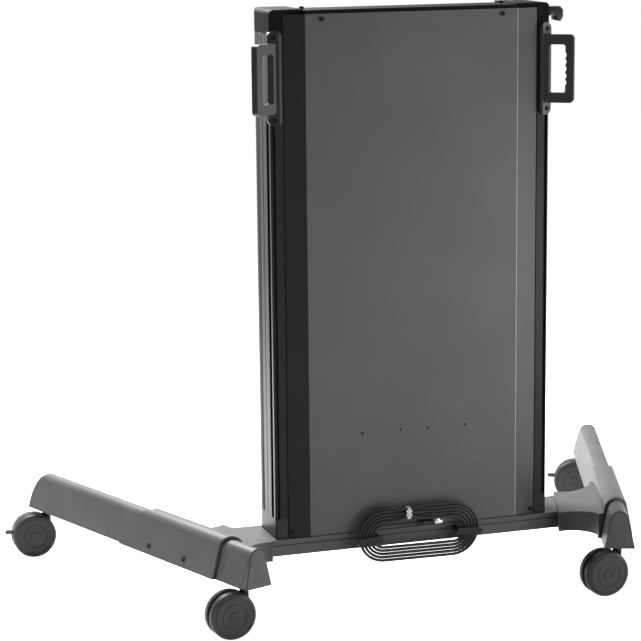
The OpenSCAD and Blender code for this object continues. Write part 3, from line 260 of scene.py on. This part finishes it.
nylon = finish(
    "black_plastic", (0.006, 0.006, 0.007), (0.012, 0.012, 0.013),
    roughness=0.36, scale=30, grain=1300, bump=0.3, shine=0.22,
)
bright = finish(
    "bright_steel", (0.42, 0.42, 0.43), (0.52, 0.52, 0.53),
    roughness=0.22, scale=60, grain=3000, bump=0.05, metallic=1.0, spread=0.06,
)
plug_end = hank_points[-1]
cone_l = 0.014
cone_big_r = 0.0054
cone_small_r = 0.0036
grip_l = 0.030
grip_w = 0.020
grip_h = 0.010
grip_gap = 0.0005
grip_waist = 0.13
grip_cuts = 5
grip_round = 0.0022
rib_count = 5
rib_r = 0.0064
rib_slope = 0.0003
rib_shrink = 0.0005
rib_w = 0.0016
rib_first = 0.0009
rib_pitch = 0.0026
plug_sides = 32
sharp = radians(40)
along_x = Matrix.Rotation(pi / 2, 4, "Y")

shape = bmesh.new()
grip = box_in(shape, (grip_l - grip_gap, grip_w, grip_h))
bmesh.ops.translate(shape, vec=(-cone_l - grip_l / 2, 0, 0), verts=grip)
long_edges = [e for e in shape.edges if abs(e.verts[0].co.x - e.verts[1].co.x) > grip_l / 2]
bmesh.ops.subdivide_edges(shape, edges=long_edges, cuts=grip_cuts)
for vert in shape.verts:
    along = (vert.co.x + cone_l) / -grip_l
    waist = 1 - grip_waist * sin(pi * min(max(along, 0), 1))
    vert.co.y = vert.co.y * waist
break_edges(shape, [e for e in shape.edges if e.calc_face_angle(0) > sharp], grip_round, 4)
for i in range(rib_count):
    r = rib_r - rib_shrink * i
    place = Matrix.Translation((-cone_l + rib_first + rib_pitch * i, 0, 0)) @ along_x
    turned(shape, r, r - rib_slope, rib_w, place, plug_sides)
place = Matrix.Translation((-cone_l / 2, 0, 0)) @ along_x
turned(shape, cone_big_r, cone_small_r, cone_l, place, plug_sides)
bmesh.ops.translate(shape, vec=plug_end, verts=shape.verts)
plug = piece_from(shape, "plug_moulding", "base", nylon, "plug")

blade_size = (0.0172, 0.0015, 0.0064)
blade_mid = 0.0080
blade_apart = 0.0127
blade_round = 0.0005
shape = bmesh.new()
for side in (-1, 1):
    blade = box_in(shape, blade_size)
    bmesh.ops.translate(
        shape, vec=(-cone_l - grip_l - blade_mid, side * blade_apart / 2, 0), verts=blade
    )
break_edges(shape, shape.edges[:], blade_round, 2)
bmesh.ops.translate(shape, vec=plug_end, verts=shape.verts)
blades = piece_from(shape, "plug_blades", "base", bright)


# Gland
# A black nylon gland with a short elbow out of the crossbar's rear wall. The cord leaves it through a
# tapered, ribbed sleeve that keeps it from kinking.
gland_low, gland_high = (Vector(corner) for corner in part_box("cord_gland"))
gland_x = 0.118
gland_y = 0.080
gland_r = 0.0070
gland_foot_h = 0.0035
gland_neck_r = 0.0062
gland_neck_h = 0.0040
sleeve_start = 0.0055
sleeve_tip_h = 0.0015
sleeve_tip_r = 0.0042
sleeve_taper = 0.0022
sleeve_rings = 6
ring_top = 0.0018
groove_start = 0.0022
groove_end = 0.0030
groove_depth = 0.0008
gland_sides = 36
weld_gap = 0.00001
foot_z = gland_low.z
profile = [
    (0.0, foot_z),
    (gland_r, foot_z),
    (gland_r, foot_z + gland_foot_h),
    (gland_neck_r, foot_z + gland_neck_h),
]
sleeve_h = gland_high.z - foot_z - sleeve_start - sleeve_tip_h
for i in range(sleeve_rings):
    level = foot_z + sleeve_start + i * sleeve_h / sleeve_rings
    r = gland_r - sleeve_taper * i / (sleeve_rings - 1)
    profile += [
        (r, level),
        (r, level + ring_top),
        (r - groove_depth, level + groove_start),
        (r - groove_depth, level + groove_end),
    ]
profile += [(sleeve_tip_r, gland_high.z), (0.0, gland_high.z)]


def spin_round(shape, points, centre, axis, sides):
    """A solid of revolution: the line through these points goes once round the axis."""
    verts = [shape.verts.new(point) for point in points]
    edges = [shape.edges.new(pair) for pair in zip(verts, verts[1:])]
    bmesh.ops.spin(
        shape,
        geom=verts + edges,
        cent=centre,
        axis=axis,
        angle=2 * pi,
        steps=sides,
        use_merge=True,
    )


shape = bmesh.new()
outline = [(gland_x + r, gland_y, z) for r, z in profile]
spin_round(shape, outline, (gland_x, gland_y, 0), (0, 0, 1), gland_sides)
bmesh.ops.remove_doubles(shape, verts=shape.verts, dist=weld_gap)
elbow = Matrix.Translation((gland_x, (gland_y + gland_low.y) / 2, foot_z + gland_r))
elbow = elbow @ Matrix.Rotation(pi / 2, 4, "X")
turned(shape, gland_r, gland_r, gland_y - gland_low.y, elbow, gland_sides)
gland = piece_from(shape, "gland_sleeve", "base", nylon, "cord_gland")


# Tie
# A white paper-covered wire bent round the five turns of the cord. Its two ends are twisted together
# on the outside and stand out crosswise.
tie_white = finish(
    "tie_white", (0.72, 0.72, 0.70), (0.80, 0.80, 0.78),
    roughness=0.40, scale=90, grain=2000, bump=0.2,
)
tie_low, tie_high = (Vector(corner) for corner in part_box("cord_tie"))
tie_size = tie_high - tie_low
tie_round = 0.0055
tie_t = 0.0009
tie_long = 0.001
end_facing = 0.9
tie_end_size = (0.0060, 0.0014, 0.0165)
tie_end_place = (0.0006, 0.001)
tie_end_apart = 0.0004
tie_end_lean = 38
shape = bmesh.new()
box_in(shape, tie_size)
open_ends = [f for f in shape.faces if abs(f.normal.x) > end_facing]
bmesh.ops.delete(shape, geom=open_ends, context="FACES_ONLY")
long_edges = [e for e in shape.edges if abs(e.verts[0].co.x - e.verts[1].co.x) > tie_long]
break_edges(shape, long_edges, tie_round, 6)
bmesh.ops.recalc_face_normals(shape, faces=shape.faces)
bmesh.ops.solidify(shape, geom=shape.faces[:], thickness=tie_t)
for side in (-1, 1):
    end = box_in(shape, tie_end_size)
    lean = Matrix.Rotation(radians(side * tie_end_lean), 3, "Y")
    bmesh.ops.rotate(shape, cent=(0, 0, 0), matrix=lean, verts=end)
    bmesh.ops.translate(
        shape,
        vec=(tie_end_place[0], tie_size.y / 2 + side * tie_end_apart, tie_end_place[1]),
        verts=end,
    )
bmesh.ops.translate(shape, vec=(tie_low + tie_high) / 2, verts=shape.verts)
tie = piece_from(shape, "tie_strap", "base", tie_white, "cord_tie")


# Floor and light
# A white sweep that the camera, the shiny finishes and clear ones see as plain white. A strong lamp in
# front and above lights the legs, and weak soft lamps behind and at the sides give the rear its tone.
bpy.context.scene.view_settings.view_transform = "Standard"
white = (1, 1, 1, 1)
floor_grey = (0.80, 0.80, 0.80, 1)
floor_half = 9
floor_cells = 4
seen_white = 1.0
room_light = 0.06


def seen_plainly(nodes, links):
    """One for a ray from the camera, off a mirror or through glass, and nought for any other."""
    path = nodes.new("ShaderNodeLightPath")
    indirect = nodes.new("ShaderNodeMath")
    indirect.operation = "MAXIMUM"
    plain = nodes.new("ShaderNodeMath")
    plain.operation = "MAXIMUM"
    links.new(path.outputs["Is Glossy Ray"], indirect.inputs[0])
    links.new(path.outputs["Is Transmission Ray"], indirect.inputs[1])
    links.new(path.outputs["Is Camera Ray"], plain.inputs[0])
    links.new(indirect.outputs["Value"], plain.inputs[1])
    return plain.outputs["Value"]


floor_shape = bmesh.new()
bmesh.ops.create_grid(floor_shape, x_segments=floor_cells, y_segments=floor_cells, size=floor_half)
floor_mesh = bpy.data.meshes.new("floor")
floor_shape.to_mesh(floor_mesh)
floor_shape.free()
floor_white = bpy.data.materials.new("floor_white")
floor_white.use_nodes = True
floor_nodes = floor_white.node_tree.nodes
floor_links = floor_white.node_tree.links
floor_nodes.clear()
floor_out = floor_nodes.new("ShaderNodeOutputMaterial")
floor_pale = floor_nodes.new("ShaderNodeBsdfDiffuse")
floor_pale.inputs["Color"].default_value = floor_grey
floor_glow = floor_nodes.new("ShaderNodeEmission")
floor_glow.inputs["Color"].default_value = white
floor_glow.inputs["Strength"].default_value = seen_white
floor_sum = floor_nodes.new("ShaderNodeAddShader")
floor_mix = floor_nodes.new("ShaderNodeMixShader")
floor_links.new(floor_pale.outputs["BSDF"], floor_sum.inputs[0])
floor_links.new(floor_glow.outputs["Emission"], floor_sum.inputs[1])
floor_links.new(seen_plainly(floor_nodes, floor_links), floor_mix.inputs["Fac"])
floor_links.new(floor_pale.outputs["BSDF"], floor_mix.inputs[1])
floor_links.new(floor_sum.outputs["Shader"], floor_mix.inputs[2])
floor_links.new(floor_mix.outputs["Shader"], floor_out.inputs["Surface"])
floor_mesh.materials.append(floor_white)
floor = bpy.data.objects.new("floor", floor_mesh)
bpy.context.collection.objects.link(floor)

world = bpy.data.worlds.new("world")
bpy.context.scene.world = world
world.use_nodes = True
sky_nodes = world.node_tree.nodes
sky_links = world.node_tree.links
sky_nodes.clear()
sky_out = sky_nodes.new("ShaderNodeOutputWorld")
sky_light = sky_nodes.new("ShaderNodeBackground")
sky_light.inputs["Color"].default_value = white
sky_light.inputs["Strength"].default_value = room_light
sky_white = sky_nodes.new("ShaderNodeBackground")
sky_white.inputs["Color"].default_value = white
sky_white.inputs["Strength"].default_value = seen_white
sky_mix = sky_nodes.new("ShaderNodeMixShader")
sky_links.new(seen_plainly(sky_nodes, sky_links), sky_mix.inputs["Fac"])
sky_links.new(sky_light.outputs["Background"], sky_mix.inputs[1])
sky_links.new(sky_white.outputs["Background"], sky_mix.inputs[2])
sky_links.new(sky_mix.outputs["Shader"], sky_out.inputs["Surface"])


def lamp(name, place, aim, size, power):
    """A soft square lamp that points at a spot on the cart."""
    data = bpy.data.lights.new(name, "AREA")
    data.shape = "SQUARE"
    data.size = size
    data.energy = power
    light = bpy.data.objects.new(name, data)
    light.location = place
    light.rotation_euler = (Vector(aim) - Vector(place)).to_track_quat("-Z", "Y").to_euler()
    bpy.context.collection.objects.link(light)


lamp("rear_low", place=(-1.4, 2.0, 0.35), aim=(-0.1, 0.05, 0.34), size=0.7, power=14)
lamp("rear_high", place=(-1.2, 2.2, 2.4), aim=(-0.1, 0, 0.3), size=1.4, power=6)
lamp("top_front", place=(0.6, -1.5, 2.2), aim=(0.45, -0.4, 0.1), size=1.2, power=170)
lamp("right_soft", place=(-2.6, 1.0, 0.9), aim=(-0.3, 0, 0.3), size=1.0, power=34)
lamp("left_rear", place=(2.1, 2.9, 1.1), aim=(0.5, -0.1, 0.15), size=0.9, power=4)
lamp("front_soft", place=(0.2, -3.2, 1.8), aim=(0, 0, 0.5), size=2.0, power=8)


# Base castings and legs
# Arched steel leg tubes, the cast hubs that hold them and the hollow crossbar between the hubs, all in
# one grey powder coat. A near-black copy of the coat is painted shade along the broken edges of the legs
# and hubs and in the crossbar's long groove.
flat_within = radians(0.3)
rim_angle = 28


def keep(material, *names):
    """A CAD piece whose shape is right stays, and takes this finish."""
    for name in names:
        piece = frame["nodes"][name]
        piece.data.materials.clear()
        piece.data.materials.append(material)


def ease(name, body, material, width=0.0006, angle=rim_angle, edge_shade=None):
    """A piece from its CAD solid: the triangles joined, the sharp edges broken, the curves smooth."""
    shape = bmesh.new()
    shape.from_mesh(frame["nodes"][name].data)
    bmesh.ops.remove_doubles(shape, verts=shape.verts, dist=weld_gap)
    bmesh.ops.dissolve_limit(
        shape, angle_limit=flat_within, verts=shape.verts, edges=shape.edges
    )
    mesh = bpy.data.meshes.new(name + "_eased")
    shape.to_mesh(mesh)
    shape.free()
    mesh.materials.append(material)
    # edge_shade is a darker material that paints shade onto the faces of the broken edges.
    if edge_shade:
        mesh.materials.append(edge_shade)
    mesh.shade_smooth()
    mesh.set_sharp_from_angle(angle=radians(angle))
    piece = bpy.data.objects.new(name + "_eased", mesh)
    bpy.context.collection.objects.link(piece)
    rim = piece.modifiers.new("rim", "BEVEL")
    rim.width = width
    rim.segments = 2
    rim.limit_method = "ANGLE"
    rim.angle_limit = radians(angle)
    rim.harden_normals = True
    rim.material = 1 if edge_shade else -1
    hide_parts(name)
    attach(piece, body)
    return piece


powder = finish(
    "powder_grey", (0.100, 0.100, 0.104), (0.118, 0.118, 0.123),
    roughness=0.42, scale=14, grain=1500, bump=0.25, shine=0.18,
)
powder_painted_shade = finish(
    "powder_painted_shade", (0.020, 0.020, 0.021), (0.034, 0.034, 0.036),
    roughness=0.45, scale=60, grain=1500, bump=0.2,
)
groove_low = 0.1428
groove_high = 0.1457
groove_front = 0.05
crossbar = ease("crossbar", "base", powder, angle=9)
# Painted shade: the faces in the crossbar's long rear groove take the near-black copy of the coat.
crossbar.data.materials.append(powder_painted_shade)
for face in crossbar.data.polygons:
    if groove_low < face.center.z < groove_high and face.center.y > groove_front:
        face.material_index = 1
# Painted shade: the broken edges of the legs and hubs take the near-black copy of the coat.
for name in ("leg_left", "leg_right"):
    ease(name, "base", powder, width=0.0012, angle=9, edge_shade=powder_painted_shade)
for name in ("hub_left", "hub_right"):
    ease(name, "base", powder, width=0.0012, angle=10, edge_shade=powder_painted_shade)
keep(powder, "mid_crossmember")


# Plastic mouldings
# Feet, collars, caster sockets, cord hooks, handles and the control box and panel in a lightly grained
# black nylon, the column's top in a matt one, and the legs' end caps in grey, with painted shade in
# black nylon on their broken edges where they meet the legs.
for name in ("upright_foot_left", "upright_foot_right", "hub_collars", "caster_sockets",
             "control_panel", "control_box", "cord_hook_left", "cord_hook_right"):
    ease(name, "base", nylon)
for name in ("handle_left", "handle_right"):
    ease(name, "base", nylon, width=0.0020)
matt_black = finish(
    "matt_black_plastic", (0.006, 0.006, 0.007), (0.012, 0.012, 0.013),
    roughness=0.70, scale=30, grain=1300, bump=0.3, shine=0.05,
)
for name in ("top_cap_left", "top_cap_right"):
    ease(name, "base", matt_black, width=0.0015)
ease("top_crossmember", "base", matt_black)
cap_grey = finish(
    "cap_grey", (0.075, 0.075, 0.078), (0.095, 0.095, 0.099),
    roughness=0.38, scale=30, grain=1300, bump=0.3,
)
# Painted shade: the caps' broken edges take the black nylon as a dark line where they meet the legs.
for name in ("leg_caps_front", "leg_caps_rear"):
    ease(name, "base", cap_grey, width=0.0016, edge_shade=nylon)


# Side hook
# A short arm on the right upright for hanging a cable, moulded in black nylon in one piece with the
# knob at its end.
hook_low, hook_high = (Vector(corner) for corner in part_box("side_hook"))
hook_size = hook_high - hook_low
hook_round = 0.0022
hook_sharp = radians(60)
hook_outline = [(1.0, 1.0), (0.18, 1.0), (0.0, 0.78), (0.0, 0.32), (0.16, 0.0), (0.44, 0.08),
                (0.50, 0.42), (0.72, 0.46), (1.0, 0.30)]
shape = bmesh.new()
corners = [
    shape.verts.new((hook_low.x + hook_size.x * across, hook_low.y, hook_low.z + hook_size.z * up))
    for across, up in hook_outline
]
side_face = shape.faces.new(corners)
swept = bmesh.ops.extrude_face_region(shape, geom=[side_face])["geom"]
bmesh.ops.translate(
    shape,
    vec=(0, hook_size.y, 0),
    verts=[v for v in swept if isinstance(v, bmesh.types.BMVert)],
)
break_edges(shape, [e for e in shape.edges if e.calc_face_angle(0) > hook_sharp], hook_round, 3)
piece_from(shape, "side_hook_moulding", "base", nylon, "side_hook", smooth_angle=25)


# Column
# Two uprights of aluminium in a black anodic coat, with painted highlights and painted shade in stripes
# along their sides, standing for the light and shade on their ribs and slots. A folded steel cover in
# dark grey paint closes the rear, with painted shade on both its side flanks and a painted highlight
# along its right fold, and a tray the front.
upright_half = 0.062
# Painted highlights and painted shade across each upright's depth: where each stripe starts, and its
# grey.
stripe_lights_and_shades = ((0.39, 0.040), (0.52, 0.004), (0.60, 0.045), (0.73, 0.003), (0.91, 0.008))
stripe_blue = 1.04
anodised = finish(
    "anodised", (0.008, 0.008, 0.009), (0.012, 0.012, 0.013),
    roughness=0.30, scale=8, grain=1800, bump=0.1, shine=0.12,
)
stripe_nodes = anodised.node_tree.nodes
stripe_links = anodised.node_tree.links
stripe_place = stripe_nodes.new("ShaderNodeTexCoord")
stripe_axes = stripe_nodes.new("ShaderNodeSeparateXYZ")
stripe_links.new(stripe_place.outputs["Object"], stripe_axes.inputs["Vector"])
stripe_span = stripe_nodes.new("ShaderNodeMapRange")
stripe_span.inputs["From Min"].default_value = -upright_half
stripe_span.inputs["From Max"].default_value = upright_half
stripe_links.new(stripe_axes.outputs["Y"], stripe_span.inputs["Value"])
stripe_painted_light = stripe_nodes.new("ShaderNodeValToRGB")
stripe_painted_light.color_ramp.interpolation = "CONSTANT"
stripe_painted_light.color_ramp.elements[0].position = 0.0
stripe_painted_light.color_ramp.elements[0].color = (0.035, 0.035, 0.037, 1)
stripe_painted_light.color_ramp.elements[1].position = 0.19
stripe_painted_light.color_ramp.elements[1].color = (0.022, 0.022, 0.023, 1)
for start, tone in stripe_lights_and_shades:
    stripe_painted_light.color_ramp.elements.new(start).color = (tone, tone, tone * stripe_blue, 1)
stripe_links.new(stripe_span.outputs["Result"], stripe_painted_light.inputs["Fac"])
stripe_mix = stripe_nodes.new("ShaderNodeMix")
stripe_mix.data_type = "RGBA"
stripe_mix.blend_type = "ADD"
stripe_mix.inputs["Factor"].default_value = 1.0
anodised_shader = stripe_nodes["Principled BSDF"]
stripe_links.new(anodised_shader.inputs["Base Color"].links[0].from_socket, stripe_mix.inputs["A"])
stripe_links.new(stripe_painted_light.outputs["Color"], stripe_mix.inputs["B"])
stripe_links.new(stripe_mix.outputs["Result"], anodised_shader.inputs["Base Color"])
for name in ("upright_left", "upright_right"):
    ease(name, "base", anodised, width=0.0004)
cover = finish(
    "cover_paint", (0.088, 0.088, 0.092), (0.100, 0.100, 0.105),
    roughness=0.42, scale=5, grain=1600, bump=0.2,
)
ease("front_cover", "base", cover, width=0.0004)
rear_panel = ease("rear_cover", "base", cover, width=0.0012, angle=7)
# Painted shade and painted reflection: the cover is one sheet, but its left flank takes a near-black
# copy of the paint and its right flank a less dark copy.
flank_painted_shade = finish(
    "cover_flank_painted_shade", (0.014, 0.014, 0.015), (0.018, 0.018, 0.019),
    roughness=0.36, scale=5, grain=1600, bump=0.2, shine=0.12,
)
flank_painted_half_shade = finish(
    "cover_flank_painted_half_shade", (0.034, 0.034, 0.036), (0.040, 0.040, 0.042),
    roughness=0.36, scale=5, grain=1600, bump=0.2, shine=0.4,
)
# Painted highlight: a light grey paint for a narrow strip along the cover's right fold.
fold_painted_highlight = finish(
    "cover_fold_painted_highlight", (0.30, 0.30, 0.31), (0.36, 0.36, 0.37),
    roughness=0.30, scale=40, grain=1600, bump=0.1,
)
for skin in (flank_painted_shade, flank_painted_half_shade, fold_painted_highlight):
    rear_panel.data.materials.append(skin)
panel_half = 0.235
fold_w = 0.0009
fold_least_l = 0.8
fold_near = 0.0005
shape = bmesh.new()
shape.from_mesh(rear_panel.data)
# Faces beyond the panel's flat middle take the painted shade, the left flank the darker one.
for face in shape.faces:
    across = face.calc_center_median().x
    if abs(across) > panel_half:
        face.material_index = 1 if across > 0 else 2
# Painted highlight: the right fold is broken over a narrow strip that takes the light grey.
folds = [
    e for e in shape.edges
    if e.calc_length() > fold_least_l and all(abs(v.co.x + panel_half) < fold_near for v in e.verts)
]
break_edges(shape, folds, fold_w, 1, material=3)
shape.to_mesh(rear_panel.data)
shape.free()
rear_panel.modifiers["rim"].angle_limit = radians(rim_angle)


# Screws
# Blackened steel socket screws. Two hold each leg in its hub from the side and one comes up into the
# crossbar from below. Studs stand on top of the column, the outermost ones in plain steel.
screw_black = finish(
    "screw_steel", (0.004, 0.004, 0.004), (0.010, 0.010, 0.011),
    roughness=0.40, scale=200, grain=2500, bump=0.2, metallic=0.3, shine=0.15,
)
keep(screw_black, "crossbar_screws", "cover_screws", "handle_screws", "bracket_screws")
leg_turn = radians(20)
leg_origin = (0.453, 0.1085, 0.131)
sleeve_screw_along = (-0.072, -0.201)
sleeve_screw_out = 0.0366
head_r = 0.0062
head_t = 0.0030
socket_wall = 0.0026
socket_depth = 0.0016
crown_near = 0.0001
low_head_r = 0.0050
low_head_t = 0.0025
low_head_place = (0.372, 0.035, 0.11775)
shape = bmesh.new()
for side in (-1, 1):
    for along in sleeve_screw_along:
        head = turned(shape, head_r, head_r, head_t)
        bmesh.ops.translate(shape, vec=(0, 0, -head_t / 2), verts=head)
        skin = {f for v in head for f in v.link_faces}
        crown = [f for f in skin if f.calc_center_median().z > -crown_near]
        bmesh.ops.inset_region(shape, faces=crown, thickness=socket_wall, depth=0)
        socket = list({v for f in crown for v in f.verts})
        bmesh.ops.translate(shape, vec=(0, 0, -socket_depth), verts=socket)
        place = (
            Matrix.Translation((side * leg_origin[0], *leg_origin[1:]))
            @ Matrix.Rotation(side * leg_turn, 4, "Z")
            @ Matrix.Translation((side * sleeve_screw_out, along, 0))
            @ Matrix.Rotation(side * pi / 2, 4, "Y")
        )
        whole = {v for part in head for f in part.link_faces for v in f.verts}
        bmesh.ops.transform(shape, matrix=place, verts=list(whole))
    place = Matrix.Translation((side * low_head_place[0], *low_head_place[1:]))
    turned(shape, low_head_r, low_head_r, low_head_t, place)
piece_from(shape, "sleeve_screw_heads", "base", screw_black, "hub_screws", smooth_angle=40)
stud_grey = finish(
    "stud_grey", (0.16, 0.16, 0.17), (0.24, 0.24, 0.25),
    roughness=0.35, scale=200, grain=2500, bump=0.2, metallic=0.5,
)
studs = ease("top_screws", "base", screw_black, width=0.0003)
studs.data.materials.append(stud_grey)
for face in studs.data.polygons:
    if abs(face.center.x) > panel_half:
        face.material_index = 1


# Lift
# A spindle actuator in black paint, pinned at both ends, drives the carriage: a welded steel frame in
# grey powder that slides on moulded guide blocks and carries the two display brackets.
actuator_black = finish(
    "actuator_paint", (0.018, 0.018, 0.020), (0.028, 0.028, 0.030),
    roughness=0.35, scale=20, grain=1500, bump=0.2, metallic=0.3,
)
keep(actuator_black, "actuator_motor", "actuator_tube", "actuator_bracket")
keep(bright, "actuator_rod", "actuator_pin_upper", "actuator_pin_lower")
guide = finish(
    "guide_plastic", (0.70, 0.69, 0.66), (0.78, 0.77, 0.74),
    roughness=0.45, scale=40, grain=1500, bump=0.2,
)
keep(guide, "guide_blocks")
for name in ("carriage_frame", "display_bracket_left", "display_bracket_right"):
    ease(name, "carriage", powder)


# Buttons
# Two push buttons moulded in grey plastic, one above the other. Each slides in its own hole in the
# control panel.
button_grey = finish(
    "button_plastic", (0.30, 0.30, 0.31), (0.36, 0.36, 0.37),
    roughness=0.25, scale=60, grain=1500, bump=0.1,
)
for name in ("up_button", "down_button"):
    ease(name, name, button_grey, width=0.0005)


# Casters
# Twin wheels moulded in grey rubber, with fine grooves round the axle, on either side of a black nylon
# fork. The two front casters have a hinged foot brake.
wheel_grey = finish(
    "wheel_grey", (0.040, 0.040, 0.042), (0.052, 0.052, 0.055),
    roughness=0.42, scale=40, grain=1400, bump=0.3, shine=0.2,
)
caster_black = finish(
    "caster_black", (0.010, 0.010, 0.011), (0.016, 0.016, 0.017),
    roughness=0.35, scale=40, grain=1400, bump=0.2, shine=0.15,
)
lever_grey = finish(
    "lever_plastic", (0.045, 0.045, 0.047), (0.060, 0.060, 0.063),
    roughness=0.35, scale=40, grain=1400, bump=0.2,
)
wheel_sides = 72
wheel_r = 0.0500
wheel_inner = 0.006
wheel_outer = 0.026
inner_round = 0.0014
inner_r = 0.0488
# How far each point of the outer face lies inside the wheel's full width, and its radius
wheel_face = [
    (0.0012, 0.0), (0.0012, 0.0078), (0.0004, 0.0082), (0.0004, 0.0100), (0.0022, 0.0104),
    (0.0020, 0.0255), (0.0030, 0.0259), (0.0030, 0.0270), (0.0020, 0.0274), (0.0022, 0.0400),
    (0.0034, 0.0404), (0.0034, 0.0418), (0.0024, 0.0423), (0.0034, 0.0460), (0.0056, 0.0488),
    (0.0086, wheel_r),
]
wheel_profile = [(wheel_outer - inside, r) for inside, r in wheel_face]
wheel_profile += [(wheel_inner + inner_round, wheel_r), (wheel_inner, inner_r), (wheel_inner, 0.0)]
joints = {joint["name"]: joint for joint in frame["joints"]}
for corner in ("rl", "rr", "fl", "fr"):
    axle = joints["roll_" + corner]["axis"]
    middle = joints["roll_" + corner]["pos_m"]
    shape = bmesh.new()
    for side in (-1, 1):
        outline = [(side * across, 0, r) for across, r in wheel_profile]
        spin_round(shape, outline, (0, 0, 0), (1, 0, 0), wheel_sides)
    bmesh.ops.remove_doubles(shape, verts=shape.verts, dist=weld_gap)
    turn = Matrix.Rotation(atan2(axle[1], axle[0]), 4, "Z")
    bmesh.ops.transform(shape, matrix=Matrix.Translation(middle) @ turn, verts=shape.verts)
    piece_from(
        shape, "wheel_pair_" + corner, "roller_" + corner, wheel_grey, "wheels_" + corner
    )
    ease("caster_body_" + corner, "caster_" + corner, caster_black)
for corner in ("fl", "fr"):
    ease("brake_lever_" + corner, "brake_" + corner, lever_grey)
